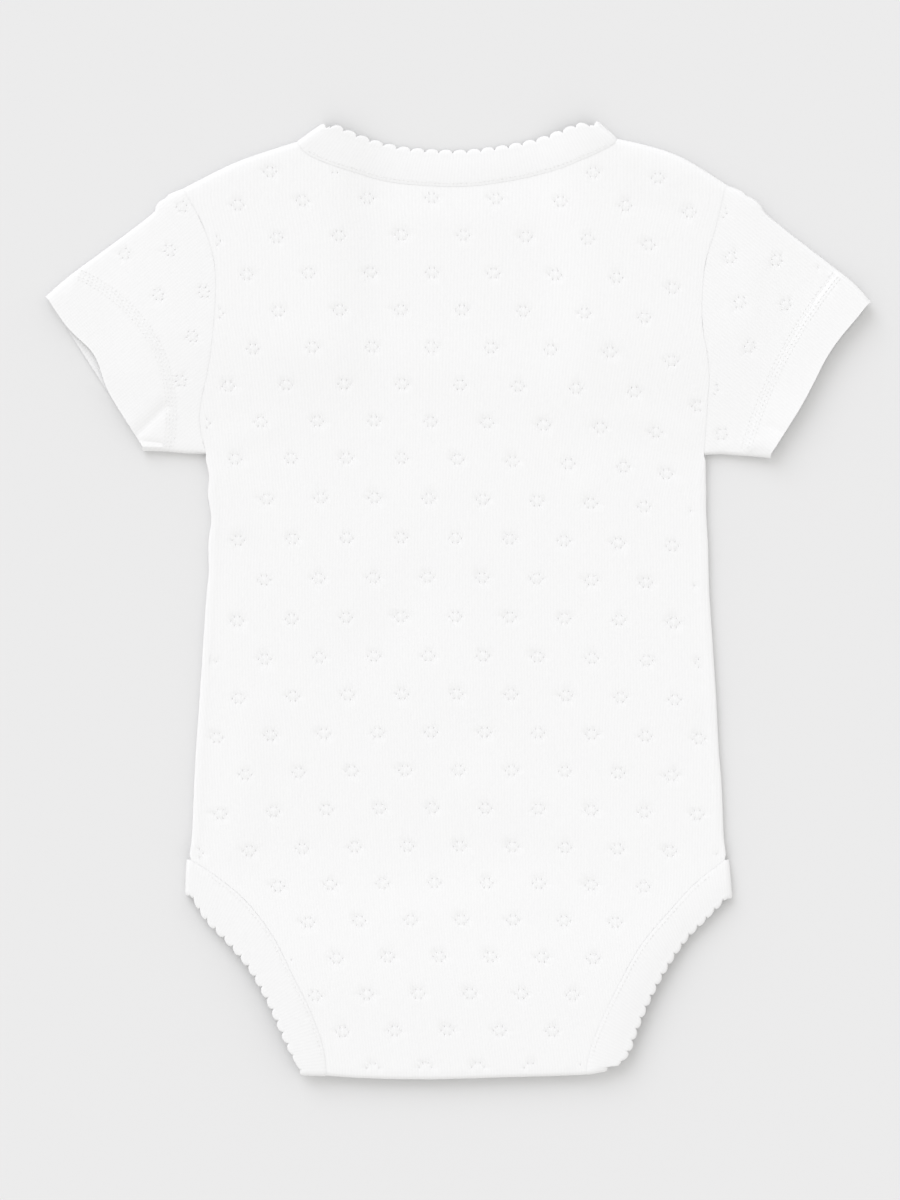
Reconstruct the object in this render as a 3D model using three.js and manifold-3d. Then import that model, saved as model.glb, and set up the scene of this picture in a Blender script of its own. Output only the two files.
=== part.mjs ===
// Newborn bodysuit laid flat on its front and seen from behind: short sleeves, lapped shoulders,
// scalloped bindings at the neck and legs, and a snapped crotch. Millimetres, +X right, +Y up to
// the neck, +Z away from the surface it lies on.
import * as THREE from 'three';
import Module from 'manifold-3d';
import { mergeVertices } from 'three/addons/utils/BufferGeometryUtils.js';

// Cloth
const CLOTH = 1.2;
const BINDING = 1.4;
const SLEEVE_HEM = 1.7;
const SEAM_GAP = 0.3;
const ARMHOLE_GAP = 0.45;

// Heights of the middle of each layer
const FRONT_MIDDLE = CLOTH / 2;
const BACK_MIDDLE = 2.7;
const SIDE_SEAM = 1.75;
const LAP_RISE = 1.85;
const SHOULDER_RISE = 1.7;
const NECK_DROOP = 1.0;
const SNAP_LIFT = 1.1;
const FLAP_MIDDLE = 3.4;
const CROTCH_RISE = 2.9;

// Places up the garment where a height starts and ends to change
const SHOULDER_FROM = 82;
const SHOULDER_TO = 102;
const SHOULDER_INNER = 28;
const SHOULDER_FULL = 50;
const SLEEVE_FROM = 104;
const SLEEVE_TO = 140;
const DROOP_FROM = 142;
const DROOP_TO = 162;
const DROOP_HALF = 24;
const DROOP_END = 44;
const CROTCH_FROM = -92;
const CROTCH_TO = -154;
const SNAP_FROM = -132;
const SNAP_TO = -154;
const LAP_CLEAR = 13;
const LAP_SLOPE = 10;

// Crotch: the fold at the bottom and the length of the flap inside it
const CROTCH_FOLD = -180.65;
const FLAP_LENGTH = 22;

// Armhole seam from the shoulder fold down to the underarm, one row for each station
const ARMHOLE = [
  { leftX: -104.5, leftY: 156.2, rightX: 102.2, rightY: 157.5 },
  { leftX: -96.5, leftY: 141.5, rightX: 97.5, rightY: 140.5 },
  { leftX: -92.2, leftY: 126.0, rightX: 93.5, rightY: 126.0 },
  { leftX: -92.6, leftY: 106.0, rightX: 92.6, rightY: 106.0 },
  { leftX: -94.8, leftY: 88.0, rightX: 95.2, rightY: 88.0 },
  { leftX: -98.2, leftY: 70.0, rightX: 94.4, rightY: 71.0 },
  { leftX: -95.6, leftY: 55.4, rightX: 93.3, rightY: 54.9 },
];

// Side edges from the underarm down to the leg
const SIDE = [
  { leftX: -95.6, leftY: 55.4, rightX: 93.3, rightY: 54.9 },
  { leftX: -94.3, leftY: 34.0, rightX: 94.5, rightY: 36.0 },
  { leftX: -95.2, leftY: 4.0, rightX: 95.7, rightY: 2.0 },
  { leftX: -98.2, leftY: -38.0, rightX: 98.1, rightY: -38.0 },
  { leftX: -100.3, leftY: -72.0, rightX: 100.2, rightY: -72.0 },
  { leftX: -101.4, leftY: -98.6, rightX: 101.2, rightY: -98.6 },
];

// Leg opening on the back: the binding's seam and its scalloped edge
const LEG_BACK = [
  { leftX: -101.4, leftY: -98.6, leftOutX: -101.6, leftOutY: -111.4,
    rightX: 101.2, rightY: -98.6, rightOutX: 102.1, rightOutY: -112.6 },
  { leftX: -91.2, leftY: -105.2, leftOutX: -95.6, leftOutY: -121.2,
    rightX: 90.3, rightY: -107.2, rightOutX: 94.0, rightOutY: -121.0 },
  { leftX: -80.3, leftY: -114.4, leftOutX: -86.8, leftOutY: -130.4,
    rightX: 80.9, rightY: -117.2, rightOutX: 86.6, rightOutY: -128.5 },
  { leftX: -70.3, leftY: -127.4, leftOutX: -78.6, leftOutY: -140.6,
    rightX: 69.7, rightY: -130.4, rightOutX: 78.4, rightOutY: -140.5 },
  { leftX: -62.6, leftY: -142.4, leftOutX: -71.9, leftOutY: -152.6,
    rightX: 60.9, rightY: -145.8, rightOutX: 72.0, rightOutY: -152.8 },
  { leftX: -55.6, leftY: -156.6, leftOutX: -67.0, leftOutY: -163.6,
    rightX: 53.9, rightY: -160.4, rightOutX: 67.2, rightOutY: -164.4 },
  { leftX: -51.0, leftY: -170.2, leftOutX: -62.6, leftOutY: -173.2,
    rightX: 49.6, rightY: -172.2, rightOutX: 63.9, rightOutY: -172.8 },
  { leftX: -49.8, leftY: -180.6, leftOutX: -59.2, leftOutY: -180.6,
    rightX: 48.4, rightY: -180.6, rightOutX: 56.0, rightOutY: -180.6 },
];

// Leg opening on the front, cut higher than the back, given for the right side
const LEG_FRONT = [
  { x: 101.3, y: -98.6, outX: 101.8, outY: -112.0 },
  { x: 84.0, y: -103.2, outX: 88.6, outY: -115.0 },
  { x: 68.4, y: -114.6, outX: 75.6, outY: -123.0 },
  { x: 56.2, y: -130.6, outX: 65.6, outY: -136.2 },
  { x: 49.4, y: -149.6, outX: 60.0, outY: -152.2 },
  { x: 46.6, y: -166.0, outX: 57.4, outY: -167.2 },
  { x: 45.8, y: -177.4, outX: 56.6, outY: -177.4 },
];

// Back neck: the binding's seam and its scalloped edge, from the left shoulder fold to the right
const NECK_BACK = [
  { x: -61.2, y: 174.0, outX: -51.7, outY: 180.7 },
  { x: -57.4, y: 169.2, outX: -47.0, outY: 179.8 },
  { x: -50.5, y: 165.9, outX: -40.4, outY: 177.2 },
  { x: -39.5, y: 162.3, outX: -31.4, outY: 174.0 },
  { x: -24.0, y: 158.4, outX: -19.2, outY: 171.3 },
  { x: 0.0, y: 156.9, outX: 0.0, outY: 170.3 },
  { x: 19.0, y: 159.0, outX: 17.0, outY: 172.0 },
  { x: 36.5, y: 163.0, outX: 30.4, outY: 174.8 },
  { x: 47.5, y: 167.2, outX: 39.6, outY: 178.0 },
  { x: 55.8, y: 171.0, outX: 46.8, outY: 180.4 },
  { x: 60.4, y: 175.2, outX: 53.2, outY: 181.6 },
];

// Edge of each shoulder lap underneath, given for the right side, from the shoulder to the armhole
const LAP_EDGE = [
  { x: 62.6, y: 158.0, outX: 49.6, outY: 160.0 },
  { x: 69.5, y: 142.0, outX: 56.6, outY: 138.6 },
  { x: 80.0, y: 130.2, outX: 71.6, outY: 119.6 },
  { x: 93.0, y: 121.0, outX: 92.6, outY: 105.0 },
];

// Front neck, most of a half ellipse; its ends lie under the laps
const NECK_FRONT = {
  middleY: 160, halfWidth: 66, drop: 43, outHalfWidth: 53.5, outDrop: 30.5, startAngle: 14,
};

// Sleeve sections from the armhole to the hem: ends on the two folds and the bow between them
const SLEEVE = {
  left: [
    { name: 'head', upperX: -113.0, upperY: 151.4, lowerX: -103.0, lowerY: 55.6, bow: 6 },
    { name: 'arm', upperX: -116.0, upperY: 146.4, lowerX: -105.4, lowerY: 55.8, bow: 9 },
    { name: 'stitch line', upperX: -145.0, upperY: 125.0, lowerX: -109.6, lowerY: 56.4, bow: 14 },
    { name: 'inside hem', upperX: -151.0, upperY: 120.2, lowerX: -114.4, lowerY: 56.7, bow: 7 },
    { name: 'hem', upperX: -156.4, upperY: 115.4, lowerX: -118.8, lowerY: 56.8, bow: 0 },
  ],
  right: [
    { name: 'head', upperX: 112.6, upperY: 151.8, lowerX: 99.0, lowerY: 55.3, bow: 6 },
    { name: 'arm', upperX: 118.2, upperY: 145.2, lowerX: 102.6, lowerY: 55.1, bow: 9 },
    { name: 'stitch line', upperX: 144.6, upperY: 124.8, lowerX: 108.2, lowerY: 54.8, bow: 14 },
    { name: 'inside hem', upperX: 151.0, upperY: 119.4, lowerX: 113.4, lowerY: 54.4, bow: 7 },
    { name: 'hem', upperX: 156.2, upperY: 113.4, lowerX: 117.8, lowerY: 54.0, bow: 0 },
  ],
};
// Exponent of the bow: below 1 it is fuller than a half sine
const BOW_FULLNESS = 0.8;
// How far the upper layer of the left hem is drawn back, and where along it
const HEM_DRAWN_BACK = { depth: 2.4, at: 0.38, spread: 0.17 };
// Lift of each sleeve off the surface at its hem
const SLEEVE_LIFT = { left: 0.2, right: 1.2 };

// Soft ridges and troughs in the back, each along a line
const CREASES = [
  { fromX: 50, fromY: 42, toX: 88, toY: -38, halfWidth: 9, height: 0.5 },
  { fromX: -34, fromY: -18, toX: -16, toY: 2, halfWidth: 13, height: -0.5 },
  { fromX: -60, fromY: 96, toX: 30, toY: 84, halfWidth: 12, height: 0.35 },
  { fromX: -78, fromY: -44, toX: -84, toY: -92, halfWidth: 8, height: 0.45 },
  { fromX: 10, fromY: -70, toX: 62, toY: -96, halfWidth: 11, height: 0.45 },
  { fromX: -92, fromY: 46, toX: -84, toY: 28, halfWidth: 5, height: 0.5 },
  { fromX: -10, fromY: 40, toX: 6, toY: -30, halfWidth: 15, height: 0.4 },
  { fromX: 84, fromY: 160, toX: 66, toY: 168, halfWidth: 4, height: 0.4 },
];

// Turned edges at the side seams: how far in from the fold, and how far down
const SIDE_ROLL = [
  { inset: 3.0, turn: 0.0 },
  { inset: 1.5, turn: 0.12 },
  { inset: 0.6, turn: 0.4 },
  { inset: 0.6, turn: 1.0 },
];
const SIDE_ROLL_START = [0, 0.75, 1, 1, 1, 0.75, 0];

// Directions in which the shoulders fold, as angles from +X
const SHOULDER_FOLD = { left: 120, right: 63 };
// How far each shoulder fold bows outward between the sleeve and the neck
const SHOULDER_BOW = { left: 1.6, right: 3.0 };

// Scalloped edges
const NECK_SCALLOP = { pitch: 5.2, depth: 1.2 };
const LEG_SCALLOP = { pitch: 4.6, depth: 1.1 };
const SCALLOP_PROFILE = [0, 1, 1];
const SCALLOP_MEAN = 0.5;
const SCALLOP_LIP = 1.0;
const EDGE_SAMPLES = 40;

// Snap fasteners
const SNAP = {
  spacing: 24, y: -168.5, capRadius: 4.8, capThickness: 0.75, capRim: 0.3, shankRadius: 1.9,
  ringRadius: 4.2, ringThickness: 0.4, hole: 2.3, segments: 14, clear: 0.3,
};

// Mesh density
const STATIONS = { armhole: 8, side: 6, leg: 8, shoulder: 4, neck: 16, fold: 4, flap: 2, lap: 3 };
const SLEEVE_FOLD_STEPS = 3;
// Points closer than this are one point
const WELD = 1e-4;

const CLOTH_COLOUR = 0xf7f7f6;
const BINDING_COLOUR = 0xfafaf9;
const SNAP_COLOUR = 0xf2f2f0;

function ramp(value, from, to) {
  return THREE.MathUtils.smoothstep((value - from) / (to - from), 0, 1);
}

function point2(x, y) {
  return new THREE.Vector2(x, y);
}

// Even stations on a smooth line through a table's points
function smoothLine(points, count) {
  return new THREE.SplineCurve(points).getSpacedPoints(count);
}

function alongPolyline(points, fraction) {
  const place = THREE.MathUtils.clamp(fraction, 0, 1) * (points.length - 1);
  const index = Math.min(Math.floor(place), points.length - 2);
  return points[index].clone().lerp(points[index + 1], place - index);
}

function polylineLength(points) {
  return points.slice(1).reduce((sum, p, i) => sum + p.distanceTo(points[i]), 0);
}

function distanceToLine(x, y, crease) {
  const dx = crease.toX - crease.fromX;
  const dy = crease.toY - crease.fromY;
  const along = ((x - crease.fromX) * dx + (y - crease.fromY) * dy) / (dx * dx + dy * dy);
  const t = THREE.MathUtils.clamp(along, 0, 1);
  return Math.hypot(x - crease.fromX - t * dx, y - crease.fromY - t * dy);
}

// Distance of the lap's scalloped edge from the centre line at a height up the garment
function lapEdgeAt(y) {
  const rows = LAP_EDGE;
  for (let i = 0; i < rows.length - 1; i += 1) {
    const last = i === rows.length - 2;
    if (y >= rows[i + 1].outY || last) {
      const t = Math.max((y - rows[i].outY) / (rows[i + 1].outY - rows[i].outY), 0);
      return rows[i].outX + t * (rows[i + 1].outX - rows[i].outX);
    }
  }
  return rows[0].outX;
}

function overLap(x, y) {
  return 1 - ramp(lapEdgeAt(y) - Math.abs(x), LAP_CLEAR, LAP_CLEAR + LAP_SLOPE);
}

// Middle height of the front layer
function frontHeight(x, y) {
  return FRONT_MIDDLE + LAP_RISE * overLap(x, y) + SNAP_LIFT * ramp(y, SNAP_FROM, SNAP_TO);
}

// Middle height of the back layer
function backHeight(x, y) {
  const across = Math.abs(x);
  const shoulder = SHOULDER_RISE * ramp(y, SHOULDER_FROM, SHOULDER_TO)
    * ramp(across, SHOULDER_INNER, SHOULDER_FULL) * (1 - ramp(across, SLEEVE_FROM, SLEEVE_TO));
  const droop = NECK_DROOP * ramp(y, DROOP_FROM, DROOP_TO) * (1 - ramp(across, DROOP_HALF, DROOP_END));
  const crotch = CROTCH_RISE * ramp(y, CROTCH_FROM, CROTCH_TO);
  const creases = CREASES.reduce((sum, crease) => {
    const reach = distanceToLine(x, y, crease) / crease.halfWidth;
    return sum + crease.height * Math.exp(-reach * reach);
  }, 0);
  return BACK_MIDDLE + shoulder - droop + crotch + creases;
}

// The middle surface of a piece of cloth as patches of points, given its thickness at the end
class Sheet {
  constructor() {
    this.points = [];
    this.halves = [];
    this.faces = [];
    this.known = new Map();
  }

  vertex(p, thickness) {
    const key = [p.x, p.y, p.z].map((value) => Math.round(value / WELD)).join();
    if (!this.known.has(key)) {
      this.known.set(key, this.points.length);
      this.points.push(p);
      this.halves.push(thickness / 2);
    }
    return this.known.get(key);
  }

  // Rows run down the piece and points run across it, so that the outer side faces the eye
  patch(rows, thickness = CLOTH) {
    const ids = rows.map((row, r) => row.map((p, c) => (
      this.vertex(p, typeof thickness === 'function' ? thickness(r, c) : thickness))));
    for (let r = 0; r < ids.length - 1; r += 1) {
      for (let c = 0; c < ids[r].length - 1; c += 1) {
        this.face(ids[r][c], ids[r + 1][c], ids[r + 1][c + 1]);
        this.face(ids[r][c], ids[r + 1][c + 1], ids[r][c + 1]);
      }
    }
  }

  face(a, b, c) {
    if (a !== b && b !== c && c !== a) this.faces.push([a, b, c]);
  }

  thicken() {
    const normals = this.points.map(() => new THREE.Vector3());
    this.faces.forEach(([a, b, c]) => {
      const ab = this.points[b].clone().sub(this.points[a]);
      const ac = this.points[c].clone().sub(this.points[a]);
      const normal = ab.cross(ac);
      [a, b, c].forEach((id) => normals[id].add(normal));
    });
    normals.forEach((normal) => normal.normalize());
    const offset = (sign) => this.points.map((p, i) => (
      p.clone().addScaledVector(normals[i], sign * this.halves[i])));
    const vertices = [...offset(1), ...offset(-1)];
    const count = this.points.length;
    const triangles = [];
    const edges = new Set();
    this.faces.forEach(([a, b, c]) => {
      triangles.push([a, b, c], [a + count, c + count, b + count]);
      [[a, b], [b, c], [c, a]].forEach(([from, to]) => edges.add(`${from},${to}`));
    });
    edges.forEach((edge) => {
      const [from, to] = edge.split(',').map(Number);
      if (!edges.has(`${to},${from}`)) {
        triangles.push([from, from + count, to + count], [from, to + count, to]);
      }
    });
    return toGeometry(vertices, triangles);
  }
}

function toGeometry(vertices, triangles) {
  const geometry = new THREE.BufferGeometry();
  const positions = new Float32Array(vertices.flatMap((p) => [p.x, p.y, p.z]));
  geometry.setAttribute('position', new THREE.BufferAttribute(positions, 3));
  geometry.setIndex(triangles.flat());
  return geometry;
}

function fractions(points) {
  const total = polylineLength(points);
  let run = 0;
  return points.map((p, i) => {
    run += i === 0 ? 0 : p.distanceTo(points[i - 1]);
    return total > 0 ? run / total : i / (points.length - 1);
  });
}

// Points filled in between four edges that meet at their corners
function between(top, bottom, left, right) {
  const [topAt, bottomAt] = [fractions(top), fractions(bottom)];
  const [leftAt, rightAt] = [fractions(left), fractions(right)];
  const [tl, tr] = [top[0], top[top.length - 1]];
  const [bl, br] = [bottom[0], bottom[bottom.length - 1]];
  return left.map((leftPoint, r) => top.map((topPoint, c) => {
    const s = (topAt[c] + bottomAt[c]) / 2;
    const t = (leftAt[r] + rightAt[r]) / 2;
    const mix = (axis) => (1 - t) * topPoint[axis] + t * bottom[c][axis]
      + (1 - s) * leftPoint[axis] + s * right[r][axis]
      - (1 - s) * (1 - t) * tl[axis] - s * (1 - t) * tr[axis]
      - (1 - s) * t * bl[axis] - s * t * br[axis];
    return point2(mix('x'), mix('y'));
  }));
}

function raise(row, height) {
  return row.map((p) => new THREE.Vector3(p.x, p.y, height(p.x, p.y)));
}

function column(table, side, xKey = 'X', yKey = 'Y') {
  return table.map((row) => point2(row[`${side}${xKey}`], row[`${side}${yKey}`]));
}

function sideSign(side) {
  return side === 'left' ? -1 : 1;
}

function foldDirection(side) {
  const angle = THREE.MathUtils.degToRad(SHOULDER_FOLD[side]);
  return point2(Math.cos(angle), Math.sin(angle));
}

// Shoulder fold: the two heights it joins give its radius, and it reaches the outline
const SHOULDER_TOP = BACK_MIDDLE + SHOULDER_RISE;
const SHOULDER_RADIUS = (SHOULDER_TOP - CLOTH / 2) / 2;

function shoulderAxis(p, side) {
  return p.clone().addScaledVector(foldDirection(side), -(SHOULDER_RADIUS + CLOTH / 2));
}

// Armhole seam from the shoulder fold's axis down, moved towards the body or the sleeve
function armholeLine(side, towards) {
  const table = column(ARMHOLE, side);
  table[0] = shoulderAxis(table[0], side);
  const shift = towards === 'body' ? -ARMHOLE_GAP / 2 : ARMHOLE_GAP / 2;
  return smoothLine(table, STATIONS.armhole)
    .map((p) => point2(p.x + sideSign(side) * shift, p.y));
}

// Edge of the flat part of a layer from the underarm to the leg, inside the turned edge
function sideLine(side) {
  const line = smoothLine(column(SIDE, side), STATIONS.side);
  const start = armholeLine(side, 'body')[STATIONS.armhole];
  return line.map((p, i) => {
    const from = i === 0 ? start : p;
    return point2(from.x - sideSign(side) * SIDE_ROLL[0].inset * SIDE_ROLL_START[i], from.y);
  });
}

function legSeamBack(side) {
  const seam = smoothLine(column(LEG_BACK, side), STATIONS.leg);
  seam[0] = sideLine(side)[STATIONS.side];
  return seam.map((p) => point2(p.x, Math.max(p.y, CROTCH_AXIS)));
}

// Crotch fold: the back's height there and the flap's height give its radius
const CROTCH_TOP = BACK_MIDDLE + CROTCH_RISE;
const CROTCH_RADIUS = (CROTCH_TOP - FLAP_MIDDLE) / 2;
const CROTCH_AXIS = CROTCH_FOLD + CROTCH_RADIUS + CLOTH / 2;

function legSeamFront(side) {
  const table = LEG_FRONT.map((row) => point2(sideSign(side) * row.x, row.y));
  const seam = smoothLine(table, STATIONS.leg);
  seam[0] = sideLine(side)[STATIONS.side];
  return seam;
}

// Whole edge of a panel from shoulder to crotch
function panelEdge(side, leg) {
  return [...armholeLine(side, 'body'), ...sideLine(side).slice(1), ...leg.slice(1)];
}

function shoulderLine(side) {
  const neckRow = side === 'left' ? NECK_BACK[0] : NECK_BACK[NECK_BACK.length - 1];
  const neck = shoulderAxis(point2(neckRow.x, neckRow.y), side);
  const arm = armholeLine(side, 'body')[0];
  const middle = arm.clone().lerp(neck, 0.5)
    .addScaledVector(foldDirection(side), SHOULDER_BOW[side]);
  return smoothLine([arm, middle, neck], STATIONS.shoulder);
}

// Back neck seam with its ends on the axes of the shoulder folds
function neckSeamBack() {
  const line = NECK_BACK.map((row) => point2(row.x, row.y));
  line[0] = shoulderLine('left')[STATIONS.shoulder];
  line[line.length - 1] = shoulderLine('right')[STATIONS.shoulder];
  return smoothLine(line, STATIONS.neck);
}

function neckEdgeBack(count) {
  const line = NECK_BACK.map((row) => point2(row.outX, row.outY));
  line[0] = shoulderAxis(line[0], 'left');
  line[line.length - 1] = shoulderAxis(line[line.length - 1], 'right');
  return smoothLine(line, count);
}

// Points round a half turn from one height to another, beyond the fold's axis
function halfTurn(axis, direction, fromZ, toZ, steps) {
  const radius = Math.abs(fromZ - toZ) / 2;
  return Array.from({ length: steps + 1 }, (_, i) => {
    const angle = (Math.PI * i) / steps;
    const out = radius * Math.sin(angle);
    const z = (fromZ + toZ) / 2 + ((fromZ - toZ) / 2) * Math.cos(angle);
    return new THREE.Vector3(axis.x + direction.x * out, axis.y + direction.y * out, z);
  });
}

// Turned edge at a side seam, from the flat layer out and round to the seam
function sideRoll(side, layer) {
  const height = layer === 'back' ? backHeight : frontHeight;
  const seam = layer === 'back' ? SIDE_SEAM + SEAM_GAP / 2 : SIDE_SEAM - SEAM_GAP / 2;
  return sideLine(side).map((p, i) => {
    const z = height(p.x, p.y);
    const strength = SIDE_ROLL_START[i];
    const roll = SIDE_ROLL.map(({ inset, turn }) => new THREE.Vector3(
      p.x + sideSign(side) * (SIDE_ROLL[0].inset - inset) * strength, p.y,
      z + (seam - z) * turn * strength));
    return side === 'left' ? roll.reverse() : roll;
  });
}

// Lap of the back over one shoulder, from its binding's seam up to and round the shoulder fold
function lapPatch(side) {
  const shoulder = shoulderLine(side);
  const arm = armholeLine(side, 'body').slice(0, STATIONS.lap + 1);
  const neck = shoulder[STATIONS.shoulder];
  const seam = lapSeam(side, arm[STATIONS.lap]);
  const degenerate = arm.map(() => neck);
  const rows = side === 'left'
    ? between(shoulder, seam, arm, degenerate)
    : between([...shoulder].reverse(), [...seam].reverse(), degenerate, arm);
  const flat = rows.map((row) => raise(row, () => CLOTH / 2)).reverse();
  const turned = rows[0].map((p) => (
    halfTurn(p, foldDirection(side), CLOTH / 2, backHeight(p.x, p.y), STATIONS.fold)));
  const turnRows = Array.from({ length: STATIONS.fold }, (_, i) => turned.map((turn) => turn[i + 1]));
  return [...flat, ...turnRows];
}

function lapSeam(side, armEnd) {
  const table = LAP_EDGE.slice(0, -1).map((row) => point2(sideSign(side) * row.x, row.y));
  const neck = shoulderLine(side)[STATIONS.shoulder];
  return smoothLine([armEnd, ...table.reverse(), neck], STATIONS.shoulder);
}

function backSheet() {
  const left = panelEdge('left', legSeamBack('left'));
  const right = panelEdge('right', legSeamBack('right'));
  const top = [
    ...shoulderLine('left').slice(0, -1), ...neckSeamBack(),
    ...shoulderLine('right').reverse().slice(1)];
  const bottom = fractions(top).map((t) => left[left.length - 1].clone().lerp(right[right.length - 1], t));
  const plan = between(top, bottom, left, right);
  const sheet = new Sheet();
  sheet.patch(plan.map((row) => raise(row, backHeight)));
  ['left', 'right'].forEach((side) => {
    sheet.patch(sideRoll(side, 'back'));
    sheet.patch(lapPatch(side));
  });
  const turned = bottom.map((p) => (
    halfTurn(p, point2(0, -1), backHeight(p.x, p.y), FLAP_MIDDLE, STATIONS.fold)));
  const turnRows = Array.from({ length: STATIONS.fold + 1 }, (_, i) => turned.map((turn) => turn[i]));
  const flapRows = Array.from({ length: STATIONS.flap }, (_, i) => bottom.map((p) => (
    new THREE.Vector3(p.x, p.y + (FLAP_LENGTH * (i + 1)) / STATIONS.flap, FLAP_MIDDLE))));
  sheet.patch([...turnRows, ...flapRows]);
  return sheet;
}

function onFrontNeck(fraction, halfWidth, drop) {
  const start = THREE.MathUtils.degToRad(NECK_FRONT.startAngle);
  const angle = start + (Math.PI - 2 * start) * fraction;
  return point2(-halfWidth * Math.cos(angle), NECK_FRONT.middleY - drop * Math.sin(angle));
}

// Top edge of the front: its shoulders, hidden under the laps, and the neck seam between them
function frontTop() {
  const neck = Array.from({ length: STATIONS.neck + 1 }, (_, i) => (
    onFrontNeck(i / STATIONS.neck, NECK_FRONT.halfWidth, NECK_FRONT.drop)));
  const shoulder = (side) => {
    const end = side === 'left' ? neck[0] : neck[STATIONS.neck];
    return smoothLine([armholeLine(side, 'body')[0], end], STATIONS.shoulder);
  };
  const line = [...shoulder('left').slice(0, -1), ...neck, ...shoulder('right').reverse().slice(1)];
  return { neck, line };
}

function frontSheet() {
  const left = panelEdge('left', legSeamFront('left'));
  const right = panelEdge('right', legSeamFront('right'));
  const top = frontTop().line;
  const bottom = fractions(top).map((t) => left[left.length - 1].clone().lerp(right[right.length - 1], t));
  const plan = between(top, bottom, left, right);
  const sheet = new Sheet();
  sheet.patch(plan.map((row) => raise(row, frontHeight)));
  ['left', 'right'].forEach((side) => sheet.patch(sideRoll(side, 'front')));
  return sheet;
}

// Binding: stations with a point at the seam, a point on the scalloped edge and the way up
class Strip {
  constructor(scallop) {
    this.stations = [];
    this.scallop = scallop;
  }

  // A run between the two edges, a few stations to each scallop
  run(seamAt, edgeAt, heightAt, up) {
    const samples = Array.from({ length: EDGE_SAMPLES + 1 }, (_, i) => edgeAt(i / EDGE_SAMPLES));
    const scallops = Math.max(Math.round(polylineLength(samples) / this.scallop.pitch), 1);
    const steps = scallops * SCALLOP_PROFILE.length;
    for (let i = 0; i <= steps; i += 1) {
      const t = i / steps;
      const [seam, edge] = [seamAt(t), edgeAt(t)];
      const across = edge.clone().sub(seam).normalize();
      const inner = seam.clone().addScaledVector(across, SEAM_GAP);
      const bump = SCALLOP_PROFILE[i % SCALLOP_PROFILE.length] - SCALLOP_MEAN;
      const outer = edge.clone().addScaledVector(across, this.scallop.depth * bump);
      this.stations.push({
        inner: new THREE.Vector3(inner.x, inner.y, heightAt(inner.x, inner.y)),
        outer: new THREE.Vector3(outer.x, outer.y, heightAt(outer.x, outer.y)),
        up: new THREE.Vector3(0, 0, up),
      });
    }
  }

  // A half turn that starts from the last station and ends at another height
  turn(direction, toZ, steps) {
    const start = this.stations[this.stations.length - 1];
    const sign = Math.sign(start.up.z);
    for (let i = 1; i <= steps; i += 1) {
      const angle = (Math.PI * i) / steps;
      const swing = (p) => {
        const radius = Math.abs(toZ - p.z) / 2;
        return new THREE.Vector3(
          p.x + direction.x * radius * Math.sin(angle), p.y + direction.y * radius * Math.sin(angle),
          (p.z + toZ) / 2 + ((p.z - toZ) / 2) * Math.cos(angle));
      };
      const up = new THREE.Vector3(direction.x * Math.sin(angle), direction.y * Math.sin(angle),
        sign * Math.cos(angle));
      this.stations.push({ inner: swing(start.inner), outer: swing(start.outer), up });
    }
  }

  solid() {
    const rings = this.stations.map(({ inner, outer, up }) => {
      const across = outer.clone().sub(inner).normalize();
      const lip = outer.clone().addScaledVector(across, -SCALLOP_LIP);
      const half = BINDING / 2;
      return [
        inner.clone().addScaledVector(up, half), lip.clone().addScaledVector(up, half), outer,
        lip.clone().addScaledVector(up, -half), inner.clone().addScaledVector(up, -half)];
    });
    return loft(rings);
  }
}

// Closed solid through rings of equal count, capped at both ends
function loft(rings) {
  const size = rings[0].length;
  const triangles = [];
  for (let i = 0; i < rings.length - 1; i += 1) {
    for (let k = 0; k < size; k += 1) {
      const [a, b] = [i * size + k, i * size + ((k + 1) % size)];
      triangles.push([a, b, b + size], [a, b + size, a + size]);
    }
  }
  const last = (rings.length - 1) * size;
  for (let k = 1; k < size - 1; k += 1) {
    triangles.push([0, k + 1, k], [last, last + k, last + k + 1]);
  }
  const geometry = toGeometry(rings.flat(), triangles);
  return signedVolume(geometry) < 0 ? flipped(geometry) : geometry;
}

function signedVolume(geometry) {
  const position = geometry.getAttribute('position');
  const index = geometry.getIndex();
  const corner = [new THREE.Vector3(), new THREE.Vector3(), new THREE.Vector3()];
  let volume = 0;
  for (let i = 0; i < index.count; i += 3) {
    corner.forEach((p, k) => p.fromBufferAttribute(position, index.getX(i + k)));
    volume += corner[0].dot(corner[1].clone().cross(corner[2])) / 6;
  }
  return volume;
}

function flipped(geometry) {
  const index = geometry.getIndex();
  for (let i = 0; i < index.count; i += 3) {
    const [b, c] = [index.getX(i + 1), index.getX(i + 2)];
    index.setX(i + 1, c);
    index.setX(i + 2, b);
  }
  return geometry;
}

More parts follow.
